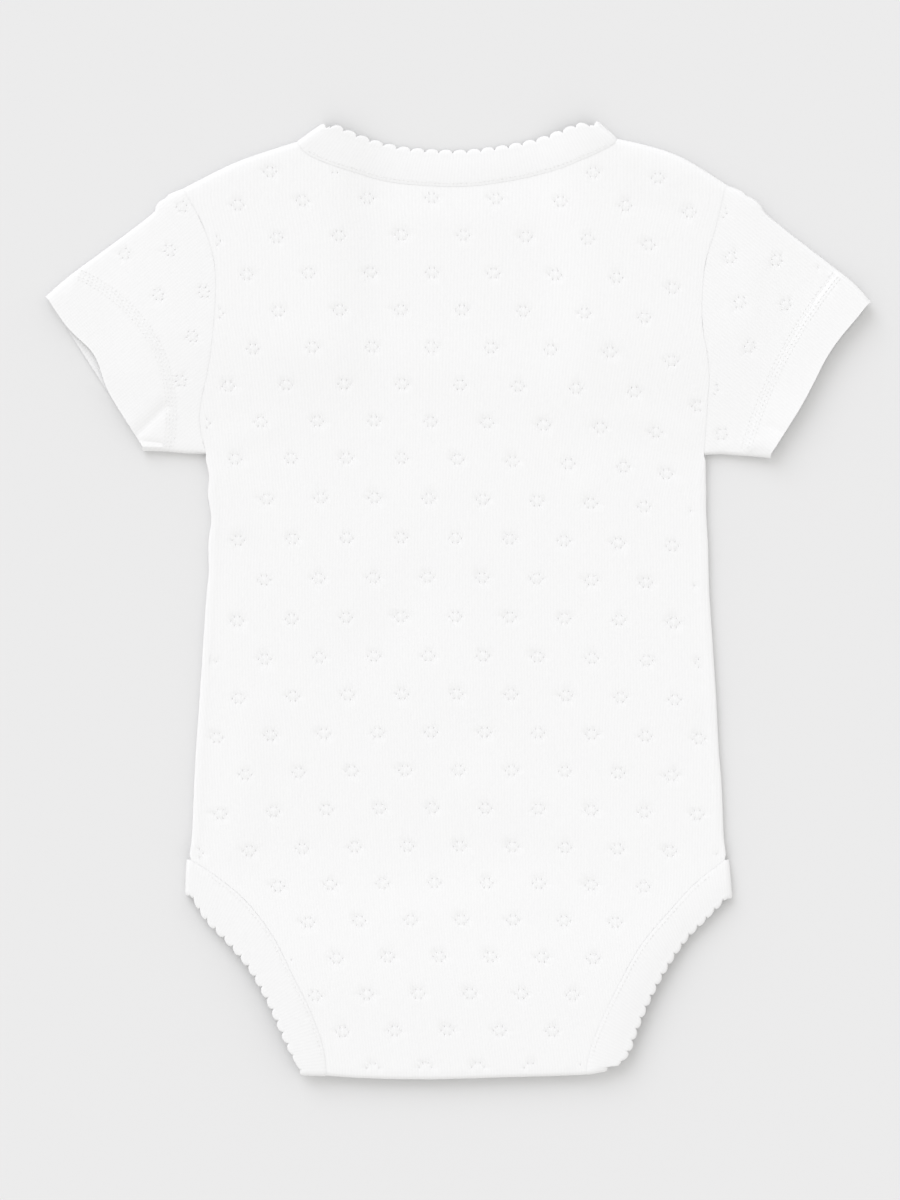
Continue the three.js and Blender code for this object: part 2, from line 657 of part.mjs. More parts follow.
// Binding of the back neck: up one lap, over the shoulder, round the neck and down the other lap
function neckBindingBack() {
  const strip = new Strip(NECK_SCALLOP);
  const lapZ = () => BINDING / 2;
  const lapRun = (side) => {
    const sign = sideSign(side);
    const seam = neckSeamBack();
    const edge = neckEdgeBack(STATIONS.neck);
    const first = side === 'left' ? 0 : STATIONS.neck;
    const arm = armholeLine(side, 'body');
    const last = LAP_EDGE.length - 1;
    const seamTable = LAP_EDGE.slice(0, last).map((row) => point2(sign * row.x, row.y));
    const edgeTable = LAP_EDGE.slice(0, last).map((row) => point2(sign * row.outX, row.outY));
    const lapEnd = arm[STATIONS.lap];
    const edgeEnd = point2(arm[STATIONS.lap + 1].x, LAP_EDGE[last].outY);
    const seamLine = smoothLine([seam[first], ...seamTable, lapEnd], STATIONS.shoulder);
    const edgeLine = smoothLine([edge[first], ...edgeTable, edgeEnd], STATIONS.armhole * 2);
    return { seamLine, edgeLine };
  };
  const leftLap = lapRun('left');
  const rightLap = lapRun('right');
  strip.run((t) => alongPolyline(leftLap.seamLine, 1 - t), (t) => alongPolyline(leftLap.edgeLine, 1 - t),
    lapZ, -1);
  strip.turn(foldDirection('left'), bindingTop(...neckSeamBack()[0]), STATIONS.fold);
  const seam = neckSeamBack();
  const edge = neckEdgeBack(STATIONS.neck * 3);
  strip.run((t) => alongPolyline(seam, t), (t) => alongPolyline(edge, t), bindingTop, 1);
  strip.turn(foldDirection('right'), BINDING / 2, STATIONS.fold);
  strip.run((t) => alongPolyline(rightLap.seamLine, t), (t) => alongPolyline(rightLap.edgeLine, t),
    lapZ, -1);
  return strip.solid();
}

// Middle height of a binding whose under side is level with the cloth beside it
function bindingTop(x, y) {
  return backHeight(x, y) + (BINDING - CLOTH) / 2;
}

function bindingBelow(x, y) {
  return frontHeight(x, y) + (BINDING - CLOTH) / 2;
}

function neckBindingFront() {
  const strip = new Strip(NECK_SCALLOP);
  const { neck } = frontTop();
  const edgeAt = (t) => onFrontNeck(t, NECK_FRONT.outHalfWidth, NECK_FRONT.outDrop);
  strip.run((t) => alongPolyline(neck, t), edgeAt, bindingBelow, 1);
  return strip.solid();
}

// Binding of one leg: along the flap, round the crotch fold, up the back, round the side and
// down the front
function legBinding(side) {
  const sign = sideSign(side);
  const strip = new Strip(LEG_SCALLOP);
  const backSeam = legSeamBack(side).reverse();
  const backOut = smoothLine(column(LEG_BACK, side, 'OutX', 'OutY'), STATIONS.leg * 3).reverse();
  backOut[0] = point2(backOut[0].x, CROTCH_AXIS);
  const frontOut = smoothLine(LEG_FRONT.map((row) => point2(sign * row.outX, row.outY)), STATIONS.leg * 3);
  const frontSeam = legSeamFront(side);
  frontSeam[0] = backSeam[backSeam.length - 1];
  frontOut[0] = backOut[backOut.length - 1];
  const flapSeam = backSeam[0];
  const flapOut = backOut[0];
  const up = (p, t) => point2(p.x, CROTCH_AXIS + FLAP_LENGTH * (1 - t));
  strip.run((t) => up(flapSeam, t), (t) => up(flapOut, t), () => FLAP_MIDDLE, -1);
  strip.turn(point2(0, -1), CROTCH_TOP + (BINDING - CLOTH) / 2, STATIONS.fold);
  strip.run((t) => alongPolyline(backSeam, t), (t) => alongPolyline(backOut, t), bindingTop, 1);
  strip.turn(point2(sign, 0), BINDING / 2, STATIONS.fold);
  strip.run((t) => alongPolyline(frontSeam, t), (t) => alongPolyline(frontOut, t), bindingBelow, -1);
  return strip.solid();
}

// Sleeve: a flattened tube of rings, each over the upper layer, round the lower fold and back
function sleeveSheet(side) {
  const sign = sideSign(side);
  const armhole = armholeLine(side, 'sleeve');
  const count = STATIONS.armhole;
  const sections = SLEEVE[side];
  const rings = [];
  const lowerFold = (BACK_MIDDLE - CLOTH / 2) / 2 + CLOTH / 2;
  const axisEnds = (upper, lower) => {
    const slope = lower.clone().sub(upper).normalize();
    return [
      upper.clone().addScaledVector(slope, lowerFold), lower.clone().addScaledVector(slope, -lowerFold)];
  };
  const armTop = armhole.map((p) => p.clone());
  armTop[count] = point2(armTop[count].x, armTop[count].y + lowerFold);
  rings.push({ upper: armTop, under: armTop, hem: 0 });
  sections.forEach((section) => {
    const [start, end] = axisEnds(
      point2(section.upperX, section.upperY), point2(section.lowerX, section.lowerY));
    const chord = end.clone().sub(start);
    const side90 = point2(-chord.y, chord.x).normalize().multiplyScalar(-sign);
    const hem = section.name.includes('hem') ? 1 : 0;
    const drawn = (t) => (section.name === 'hem' && side === 'left' ? HEM_DRAWN_BACK.depth
      * Math.exp(-(((t - HEM_DRAWN_BACK.at) / HEM_DRAWN_BACK.spread) ** 2)) : 0);
    const path = (extra) => Array.from({ length: count + 1 }, (_, i) => {
      const t = i / count;
      const bow = section.bow * Math.sin(Math.PI * t) ** BOW_FULLNESS + extra(t);
      return start.clone().addScaledVector(chord, t).addScaledVector(side90, bow);
    });
    rings.push({ upper: path(drawn), under: path(() => 0), hem });
  });
  const rows = rings.map((ring, r) => sleeveRing(ring, side, r / (rings.length - 1)));
  const thickness = (r) => (r >= rings.length - 2 ? SLEEVE_HEM : CLOTH);
  const sheet = new Sheet();
  const ordered = side === 'left' ? rows.map((row) => [...row].reverse()) : rows;
  sheet.patch(ordered, thickness);
  return sheet;
}

// One ring: the upper layer from the shoulder to the underarm, and back along the lower layer
function sleeveRing(ring, side, reach) {
  const thick = ring.hem ? SLEEVE_HEM : CLOTH;
  const lift = SLEEVE_LIFT[side] * reach * reach;
  const underZ = thick / 2 + lift;
  const topZ = (p) => Math.max(backHeight(p.x, p.y), underZ + thick + SEAM_GAP) + lift * reach;
  const upper = ring.upper.map((p) => new THREE.Vector3(p.x, p.y, topZ(p)));
  const under = [...ring.under].reverse().map((p) => new THREE.Vector3(p.x, p.y, underZ));
  const bend = (from, to, direction) => halfTurn(from, direction, from.z, to.z, SLEEVE_FOLD_STEPS)
    .slice(1, -1);
  const outward = (end, inner) => point2(end.x - inner.x, end.y - inner.y).normalize();
  const last = upper.length - 1;
  const lowerOut = reach === 0 ? point2(0, -1) : outward(upper[last], upper[last - 1]);
  const upperOut = reach === 0 ? foldDirection(side) : outward(upper[0], upper[1]);
  const lower = bend(upper[last], under[0], lowerOut);
  const back = bend(under[last], upper[0], upperOut);
  return [...upper, ...lower, ...under, ...back, upper[0]];
}

// Snap fastener, closed: cap, shank through both layers, and the ring inside the flap
function snapProfile() {
  const flapTop = FLAP_MIDDLE + CLOTH / 2 + SNAP.clear;
  const top = flapTop + SNAP.ringThickness;
  const cap = SNAP.capThickness;
  const rim = SNAP.capRim;
  return [
    [0, 0], [SNAP.capRadius - rim, 0], [SNAP.capRadius, rim], [SNAP.capRadius, cap],
    [SNAP.shankRadius, cap], [SNAP.shankRadius, flapTop], [SNAP.ringRadius, flapTop],
    [SNAP.ringRadius, top], [0, top]].map(([r, z]) => point2(r, z));
}

function snapGeometry() {
  const turned = new THREE.LatheGeometry(snapProfile(), SNAP.segments);
  turned.rotateX(Math.PI / 2);
  turned.deleteAttribute('uv');
  turned.deleteAttribute('normal');
  const closed = mergeVertices(turned, WELD);
  dropFlatTriangles(closed);
  return signedVolume(closed) < 0 ? flipped(closed) : closed;
}

function dropFlatTriangles(geometry) {
  const index = Array.from(geometry.getIndex().array);
  const kept = [];
  for (let i = 0; i < index.length; i += 3) {
    const [a, b, c] = index.slice(i, i + 3);
    if (a !== b && b !== c && c !== a) kept.push(a, b, c);
  }
  geometry.setIndex(kept);
}

const wasm = await Module();
wasm.setup();

function toManifold(geometry) {
  const vertProperties = new Float32Array(geometry.getAttribute('position').array);
  const triVerts = new Uint32Array(geometry.getIndex().array);
  return new wasm.Manifold(new wasm.Mesh({ numProp: 3, vertProperties, triVerts }));
}

function fromManifold(solid) {
  const mesh = solid.getMesh();
  const geometry = new THREE.BufferGeometry();
  geometry.setAttribute('position', new THREE.BufferAttribute(new Float32Array(mesh.vertProperties), 3));
  geometry.setIndex(Array.from(mesh.triVerts));
  return geometry;
}

const SNAP_PLACES = [-1, 0, 1].map((step) => step * SNAP.spacing);

// Holes for the snaps, cut only through the layers that they join
function withSnapHoles(geometry, fromZ, toZ) {
  let solid = toManifold(geometry);
  SNAP_PLACES.forEach((x) => {
    const drill = new THREE.CylinderGeometry(SNAP.hole, SNAP.hole, toZ - fromZ, SNAP.segments);
    drill.rotateX(Math.PI / 2);
    drill.translate(x, SNAP.y, (fromZ + toZ) / 2);
    drill.deleteAttribute('uv');
    drill.deleteAttribute('normal');
    const closed = mergeVertices(drill, WELD);
    dropFlatTriangles(closed);
    solid = solid.subtract(toManifold(closed));
  });
  return fromManifold(solid);
}

function piece(name, geometry, color, roughness) {
  const mesh = new THREE.Mesh(geometry, new THREE.MeshStandardMaterial({ color, roughness, metalness: 0 }));
  mesh.name = name;
  return mesh;
}

const clothRoughness = 0.9;
const snapRoughness = 0.45;
const flapBelow = FLAP_MIDDLE - CLOTH;
const flapAbove = FLAP_MIDDLE + CLOTH / 2 + SNAP.clear / 2;

const bodysuit = new THREE.Group();
bodysuit.add(
  piece('back_panel', withSnapHoles(backSheet().thicken(), flapBelow, flapAbove), CLOTH_COLOUR,
    clothRoughness),
  piece('front_panel', withSnapHoles(frontSheet().thicken(), 0, flapBelow + CLOTH / 2), CLOTH_COLOUR,
    clothRoughness),
  piece('neck_binding_back', neckBindingBack(), BINDING_COLOUR, clothRoughness),
  piece('neck_binding_front', neckBindingFront(), BINDING_COLOUR, clothRoughness));
['left', 'right'].forEach((side) => {
  bodysuit.add(
    piece(`sleeve_${side}`, sleeveSheet(side).thicken(), CLOTH_COLOUR, clothRoughness),
    piece(`leg_binding_${side}`, legBinding(side), BINDING_COLOUR, clothRoughness));
});
SNAP_PLACES.forEach((x, i) => {
  const snap = piece(`snap_${i + 1}`, snapGeometry(), SNAP_COLOUR, snapRoughness);
  snap.position.set(x, SNAP.y, 0);
  bodysuit.add(snap);
});

export default bodysuit;
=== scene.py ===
# Newborn bodysuit in white pointelle rib, laid flat on its front and seen from behind.
# Cutting sizes are in millimetres; every finished mesh is in metres.
import math
from functools import partial
import bpy
import numpy as np
from mathutils.geometry import delaunay_2d_cdt
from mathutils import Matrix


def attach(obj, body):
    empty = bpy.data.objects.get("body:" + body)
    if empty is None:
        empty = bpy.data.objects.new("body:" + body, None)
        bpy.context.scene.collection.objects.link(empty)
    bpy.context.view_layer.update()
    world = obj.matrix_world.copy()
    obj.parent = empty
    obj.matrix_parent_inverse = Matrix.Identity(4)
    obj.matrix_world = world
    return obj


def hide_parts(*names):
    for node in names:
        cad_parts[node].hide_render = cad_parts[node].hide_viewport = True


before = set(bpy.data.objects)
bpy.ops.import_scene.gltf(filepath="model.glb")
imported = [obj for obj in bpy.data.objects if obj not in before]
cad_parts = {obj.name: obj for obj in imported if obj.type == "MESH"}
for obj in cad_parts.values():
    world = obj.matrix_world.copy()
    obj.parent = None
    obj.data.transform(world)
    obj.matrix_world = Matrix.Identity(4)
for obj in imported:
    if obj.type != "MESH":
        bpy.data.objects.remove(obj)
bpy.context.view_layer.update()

# Back: the whole back of the bodysuit, with its shoulder laps and its crotch flap in one cut.
# Cotton 1x1 rib jersey, knitted in one piece with small rings of six eyelets in staggered rows,
# cut to shape and overlocked to the front down both sides.
METRES = 0.001
CLOTH = 1.1
SEAM_GAP = 0.3
GAP = 0.004
FRONT_MIDDLE = 0.6
BACK_MIDDLE = 2.7
SIDE_SEAM = 1.75
LAP_MIDDLE = 0.6
FLAP_MIDDLE = 3.4
SHOULDER_RISE = 1.7
CROTCH_RISE = 2.9
CROTCH_FOLD = -180.65
FLAP_LENGTH = 22.0
WALL = 1.2

ARMHOLE = {
    "left": [(-104.5, 156.2), (-96.5, 141.5), (-92.2, 126.0), (-92.6, 106.0), (-94.8, 88.0),
             (-98.2, 70.0), (-95.6, 55.4)],
    "right": [(102.2, 157.5), (97.5, 140.5), (93.5, 126.0), (92.6, 106.0), (95.2, 88.0),
              (94.4, 71.0), (93.3, 54.9)],
}
SIDE = {
    "left": [(-95.6, 55.4), (-94.5, 47.5), (-95.0, 40.0), (-93.7, 31.0), (-94.8, 22.0), (-94.7, 10.0),
             (-95.7, 0.0), (-98.2, -38.0), (-99.6, -58.0), (-100.3, -72.0), (-101.4, -98.6)],
    "right": [(93.3, 54.9), (94.2, 44.0), (94.3, 33.0), (95.0, 20.0), (95.4, 4.0), (96.7, -16.0),
              (98.1, -38.0), (99.0, -56.0), (100.2, -72.0), (101.2, -98.6)],
}
LEG_BACK = {
    "left": [(-101.4, -98.6), (-91.2, -105.2), (-80.3, -114.4), (-70.3, -127.4), (-62.6, -142.4),
             (-55.6, -156.6), (-51.0, -170.2), (-49.8, -180.6)],
    "right": [(101.2, -98.6), (90.3, -107.2), (80.9, -117.2), (69.7, -130.4), (60.9, -145.8),
              (53.9, -160.4), (49.6, -172.2), (48.4, -180.6)],
}
NECK_BACK = [(-61.2, 174.0), (-57.4, 169.2), (-50.5, 165.9), (-39.5, 162.3), (-24.0, 158.4),
             (0.0, 156.9), (19.0, 159.0), (36.5, 163.0), (47.5, 167.2), (55.8, 171.0), (60.4, 175.2)]
SHOULDER_FOLD = {"left": math.radians(120), "right": math.radians(63)}
# How far each shoulder fold bows outward between the sleeve and the neck
SHOULDER_BOW = {"left": 1.6, "right": 3.0}
SIGN = {"left": -1.0, "right": 1.0}
SIDES = ("left", "right")

# Soft ridges and troughs: from, to, half width and height
BACK_CREASES = [
    ((50, 42), (88, -38), 9, 0.5), ((-34, -18), (-16, 2), 13, -0.5), ((-60, 96), (30, 84), 12, 0.35),
    ((-78, -44), (-84, -92), 8, 0.45), ((10, -70), (62, -96), 11, 0.45), ((-92, 46), (-84, 28), 5, 0.5),
    ((-10, 40), (6, -30), 15, 0.4), ((84, 160), (66, 168), 4, 0.4), ((66, 152), (84, 146), 3.5, -0.3),
    ((-88, 60), (-70, 66), 4, 0.3), ((86, 62), (66, 70), 4.5, 0.3), ((-20, -120), (30, -112), 9, 0.3),
]


def ramp(value, start, end):
    t = np.clip((np.asarray(value, float) - start) / (end - start), 0.0, 1.0)
    return t * t * (3.0 - 2.0 * t)


def crease_height(x, y, creases):
    total = np.zeros_like(np.asarray(x, float))
    for (x0, y0), (x1, y1), half_width, height in creases:
        dx, dy = x1 - x0, y1 - y0
        along = np.clip(((x - x0) * dx + (y - y0) * dy) / (dx * dx + dy * dy), 0.0, 1.0)
        reach = np.hypot(x - x0 - along * dx, y - y0 - along * dy) / half_width
        total = total + height * np.exp(-reach * reach)
    return total


# Where the back rises over the laps, droops at the neck and rises over the flap: start and end
SHOULDER_UP, SHOULDER_OUT, SHOULDER_ARM = (56, 104), (28, 50), (104, 140)
DROOP_UP, DROOP_OUT = (142, 162), (24, 44)
CROTCH_DOWN = (92, 154)


def back_height(x, y):
    across = np.abs(x)
    shoulder = SHOULDER_RISE * ramp(y, *SHOULDER_UP) * ramp(across, *SHOULDER_OUT)
    shoulder = shoulder * (1 - ramp(across, *SHOULDER_ARM))
    droop = ramp(y, *DROOP_UP) * (1 - ramp(across, *DROOP_OUT))
    crotch = CROTCH_RISE * ramp(-np.asarray(y, float), *CROTCH_DOWN)
    return BACK_MIDDLE + shoulder - droop + crotch + crease_height(x, y, BACK_CREASES)


def distance_along(line):
    return np.concatenate([[0], np.cumsum(np.linalg.norm(np.diff(line, axis=0), axis=1))])


def offset(line, distance):
    return line + beside(line) * distance


def beside(line):
    """The unit direction to the left of a line, at each of its points."""
    step = np.gradient(line, axis=0)
    return np.column_stack([-step[:, 1], step[:, 0]]) / np.linalg.norm(step, axis=1)[:, None]


def smooth_line(points, spacing=2.0, count=None):
    """Even stations on a smooth line through a few points."""
    table = np.array(points, float)
    dense = []
    for i in range(len(table) - 1):
        p0, p1 = table[max(i - 1, 0)], table[i]
        p2, p3 = table[i + 1], table[min(i + 2, len(table) - 1)]
        t = np.linspace(0, 1, 40, endpoint=False)[:, None]
        v0, v1 = (p2 - p0) / 2, (p3 - p1) / 2
        dense.append((2 * p1 - 2 * p2 + v0 + v1) * t**3
                     + (-3 * p1 + 3 * p2 - 2 * v0 - v1) * t**2 + v0 * t + p1)
    dense = np.vstack(dense + [table[-1:]])
    run = distance_along(dense)
    stations = count or max(int(round(run[-1] / spacing)), 2)
    at = np.linspace(0, run[-1], stations + 1)
    return np.column_stack([np.interp(at, run, dense[:, k]) for k in range(dense.shape[1])])


def fold_direction(side):
    return np.array([math.cos(SHOULDER_FOLD[side]), math.sin(SHOULDER_FOLD[side])])


SHOULDER_INSET = (BACK_MIDDLE + SHOULDER_RISE - LAP_MIDDLE) / 2 + WALL / 2


def shoulder_axis(point, side):
    return np.array(point, float) - fold_direction(side) * SHOULDER_INSET


def armhole_line(side, shift):
    table = [shoulder_axis(ARMHOLE[side][0], side)] + ARMHOLE[side][1:]
    return smooth_line(table) + np.array([SIGN[side] * shift, 0.0])


SIDE_INSET = 3.0


def side_strength(count):
    t = np.linspace(0, 1, count)
    return ramp(t, 0, 0.07) * (1 - ramp(t, 0.93, 1.0))


def side_line(side):
    line = smooth_line(SIDE[side])
    line[0] = armhole_line(side, -GAP / 2)[-1]
    line[:, 0] -= SIGN[side] * SIDE_INSET * side_strength(len(line))
    return line


SNAP_HOLES = [(x, -168.5, 2.3) for x in (-24.0, 0.0, 24.0)]
CROTCH_RADIUS = (BACK_MIDDLE + CROTCH_RISE - FLAP_MIDDLE) / 2
CROTCH_AXIS = CROTCH_FOLD + CROTCH_RADIUS + WALL / 2


# The crotch fold isn't quite straight: how far each place along it is drawn up
FOLD_WAVE_AT = [-60, -50, -39, -25, -10, 6, 18, 37, 48, 56]
FOLD_WAVE = [0.5, 0.2, -0.6, -1.1, -1.2, -0.8, -0.4, 0.1, 0.5, 1.9]


def crotch_axis(x):
    return CROTCH_AXIS + np.interp(x, FOLD_WAVE_AT, FOLD_WAVE)


def leg_seam(side, table):
    line = smooth_line(table)
    line[0] = side_line(side)[-1]
    return line


def back_leg(side):
    line = leg_seam(side, LEG_BACK[side])
    line[:, 1] = np.maximum(line[:, 1], crotch_axis(line[:, 0]))
    keep = np.concatenate([[True], np.linalg.norm(np.diff(line, axis=0), axis=1) > 0.3])
    line = line[keep]
    line[-1, 1] = crotch_axis(line[-1, 0])
    return line


def shoulder_line(side):
    neck = NECK_BACK[0] if side == "left" else NECK_BACK[-1]
    arm, neck = armhole_line(side, -GAP / 2)[0], shoulder_axis(neck, side)
    return smooth_line([arm, (arm + neck) / 2 + fold_direction(side) * SHOULDER_BOW[side], neck])


def neck_seam():
    line = [shoulder_line("left")[-1]] + NECK_BACK[1:-1] + [shoulder_line("right")[-1]]
    return smooth_line(line, 1.6)


# Rings of eyelets: the height of every sixth row or so, and the spacing along a row, both of
# which follow the way the knit was stretched when it was pressed
ROW_INDEX = [-2, -1, 0, 7, 12, 17, 23, 25]
ROW_HEIGHT = [177.0, 164.2, 152.5, 53.2, -21.3, -93.5, -177.1, -203.0]
SPACING_AT = [-165, -150, -122, -108, -80, -51, -36, 8, 38, 54, 68, 82, 96, 109, 138, 151]
SPACING = [19.9, 19.5, 19.4, 19.8, 20.1, 20.3, 20.7, 20.7, 20.5, 21.1, 21.5, 22.0, 22.6, 23.2, 23.6, 24.5]
CENTRE_AT = [-177, -165, -150, -136, -122, -108, -80, -51, -22, 8, 38, 68, 96, 124, 151]
CENTRE = [7.6, 6.1, 4.6, 2.7, 1.5, 1.1, 0.4, 0.0, -0.8, -1.1, -0.8, 0.4, 1.3, 1.9, 2.3]
TILT_AT = [-120, 0, 54, 110, 160]
TILT = [0.0, 0.4, 2.3, 1.0, 1.2]
ROW_BOW_AT = [130, 150]
ROW_BOW = [2.2, 4.3]
HALF_BODY = 88.0
WALES_PER_RING = 18
COURSE = 0.9
EYELET_PLACES = [(-1.0, 1.65), (1.0, 1.65), (-2.35, 0.0), (2.35, 0.0), (-1.0, -1.65), (1.0, -1.65)]
EYELET = (0.38, 0.68)
EYELET_DEPTH = 0.28
EYELET_FUNNEL = 0.9
EDGE_CLEAR = 1.9


def body_knit(x, y):
    spacing = np.interp(y, SPACING_AT, SPACING)
    centre = np.interp(y, CENTRE_AT, CENTRE)
    return WALES_PER_RING * (x - centre) / spacing, y / COURSE


# Local shifts of the rings near the right armhole, a guess: place, reach and pull
PULLS = [((89.0, 77.5), 12.0, (2.3, -4.2)), ((84.3, 121.3), 15.0, (-2.5, -3.0)),
         ((84.1, 48.4), 12.0, (-5.0, -1.3)), ((80.0, 92.5), 7.0, (0.5, -1.6))]


def body_rings(shift=0.0):
    places = []
    for row in range(-2, 26):
        height = np.interp(row, ROW_INDEX, ROW_HEIGHT)
        spacing = np.interp(height, SPACING_AT, SPACING)
        centre = np.interp(height, CENTRE_AT, CENTRE)
        for i in range(-6, 7):
            x = centre + (i + shift + (0.5 if row % 2 == 0 else 0.0)) * spacing
            out = x / HALF_BODY
            y = (height - np.interp(height, ROW_BOW_AT, ROW_BOW) * out * out
                 - np.interp(height, TILT_AT, TILT) * out)
            for (at_x, at_y), reach, (pull_x, pull_y) in PULLS:
                share = math.exp(-(((x - at_x) ** 2 + (y - at_y) ** 2) / reach ** 2))
                x, y = x + pull_x * share, y + pull_y * share
            places.append((x, y, 0.0))
    return places


def inside(points, loop):
    x, y = points[:, 0], points[:, 1]
    result = np.zeros(len(points), bool)
    for (x0, y0), (x1, y1) in zip(loop, np.roll(loop, -1, axis=0)):
        if y0 == y1:
            continue
        crosses = (y0 > y) != (y1 > y)
        result ^= crosses & (x < (x1 - x0) * (y - y0) / (y1 - y0) + x0)
    return result


def clear_of(points, others, distance):
    if len(others) == 0 or len(points) == 0:
        return np.ones(len(points), bool)
    return distance_to(points, others) > distance


def distance_to(points, others):
    gap = np.empty(len(points))
    for start in range(0, len(points), 1500):
        part = points[start:start + 1500]
        gap[start:start + 1500] = np.linalg.norm(part[:, None, :] - others[None, :, :], axis=2).min(axis=1)
    return gap


# Rows of mesh beside a seam, and how much thinner each face is pressed there
SEAM_ROWS = (0.6, 1.3, 2.0)
SEAM_PRESS = 0.02


class Cloth:
    """The middle surface of a piece of cloth, in millimetres, made solid at the end."""

    def __init__(self):
        self.points, self.knit, self.half, self.faces, self.known = [], [], [], [], {}
        self.funnel = {}

    def vertex(self, p, knit, half):
        key = tuple(int(round(v * 2000)) for v in p)
        if key not in self.known:
            self.known[key] = len(self.points)
            self.points.append(p)
            self.knit.append(knit)
            self.half.append(half)
        return self.known[key]

    def face(self, a, b, c):
        if a != b and b != c and c != a:
            self.faces.append((a, b, c))

    def patch(self, rows, knit, thickness=CLOTH):
        """Rows run down the piece and points run across it, so that the outer side faces out."""
        ids = [[self.vertex(tuple(p), tuple(float(k) for k in knit(p[0], p[1])), thickness / 2)
                for p in row] for row in rows]
        for upper, lower in zip(ids, ids[1:]):
            for i in range(len(upper) - 1):
                self.face(upper[i], lower[i], lower[i + 1])
                self.face(upper[i], lower[i + 1], upper[i + 1])

    def cut(self, outline, rings, height, knit, turn=1, spacing=3.2, thickness=None, seams=(), extra=(),
            punched=()):
        """A flat cut with its eyelets open, laid at a height; turn is -1 for cloth facing down.
        The cloth is pressed thinner beside its seams."""
        loop = np.array(outline)
        low, high = loop.min(axis=0), loop.max(axis=0)
        holes = []
        for x, y, angle in rings:
            ca, sa = math.cos(angle), math.sin(angle)
            for ex, ey in EYELET_PLACES:
                holes.append((np.array([x + ca * ex - sa * ey, y + sa * ex + ca * ey]), ca, sa))
        if holes:
            centres = np.array([h[0] for h in holes])
            good = inside(centres, loop) & clear_of(centres, loop, EDGE_CLEAR)
            holes = [h for h, ok in zip(holes, good) if ok]
        centres = np.array([h[0] for h in holes])
        rim = []
        around = np.linspace(0, 2 * math.pi, 8, endpoint=False)
        for centre, ca, sa in holes:
            ex, ey = EYELET[0] * np.cos(around), EYELET[1] * np.sin(around)
            rim.append(np.column_stack([centre[0] + ca * ex - sa * ey, centre[1] + sa * ex + ca * ey]))
        around = np.linspace(0, 2 * math.pi, 20, endpoint=False)
        for x, y, radius in punched:
            rim.append(np.column_stack([x + radius * np.cos(around), y + radius * np.sin(around)]))
        columns = np.arange(low[0], high[0], spacing)
        lines = np.arange(low[1], high[1], spacing * 0.866)
        grid = np.array([(c + (spacing / 2 if r % 2 else 0.0), line)
                         for r, line in enumerate(lines) for c in columns])
        grid = grid[inside(grid, loop)]
        grid = grid[clear_of(grid, loop, spacing * 0.45)]
        grid = grid[clear_of(grid, centres, 1.5)]
        for x, y, radius in punched:
            grid = grid[np.hypot(grid[:, 0] - x, grid[:, 1] - y) > radius + 0.8]
        seam_points = np.vstack(seams) if len(seams) else np.zeros((0, 2))
        more = [np.array(extra)] if len(extra) else []
        more += [np.array([ring[:2] for ring in rings])] if len(rings) else []
        for seam in seams:
            more += [offset(seam, way * inset) for inset in SEAM_ROWS for way in (-1, 1)]
        if more:
            more = np.vstack(more)
            more = more[inside(more, loop) & clear_of(more, loop, 0.45)]
            more = more[clear_of(more, centres, 0.95)]
            grid = grid[clear_of(grid, more, spacing * 0.4)]
            grid = np.vstack([grid, more])
        flat, edges = list(map(tuple, loop)), [(i, (i + 1) % len(loop)) for i in range(len(loop))]
        around_hole = {}
        for number, ring in enumerate(rim):
            first = len(flat)
            around_hole.update((first + i, number) for i in range(len(ring)))
            flat += list(map(tuple, ring))
            edges += [(first + i, first + (i + 1) % len(ring)) for i in range(len(ring))]
        flat += list(map(tuple, grid))
        found = delaunay_2d_cdt(flat, edges, [], 1, 1e-5)
        owner = [next((around_hole[i] for i in ids if i in around_hole), -1) for ids in found[3]]
        xy = np.array([tuple(v) for v in found[0]])
        z = height(xy[:, 0], xy[:, 1])
        k0, k1 = knit(xy[:, 0], xy[:, 1])
        half = np.full(len(xy), CLOTH / 2) if thickness is None else thickness(xy[:, 0], xy[:, 1]) / 2
        if len(seam_points):
            gap = distance_to(xy, seam_points)
            half = half - SEAM_PRESS * (1 - ramp(gap, -0.3, SEAM_ROWS[-1]))
        ids = [self.vertex((x, y, zz), (a, b), h)
               for (x, y), zz, a, b, h in zip(xy, z, k0, np.broadcast_to(k1, k0.shape), half)]
        for i, hole in enumerate(owner):
            if 0 <= hole < len(holes):
                self.funnel[ids[i]] = (holes[hole][0] - xy[i]) * EYELET_FUNNEL
        for tri in found[2]:
            if owner[tri[0]] >= 0 and owner[tri[0]] == owner[tri[1]] == owner[tri[2]]:
                continue
            a, b, c = (ids[i] for i in tri)
            pa, pb, pc = (xy[i] for i in tri)
            area = (pb[0] - pa[0]) * (pc[1] - pa[1]) - (pb[1] - pa[1]) * (pc[0] - pa[0])
            self.face(*((a, b, c) if area * turn > 0 else (a, c, b)))

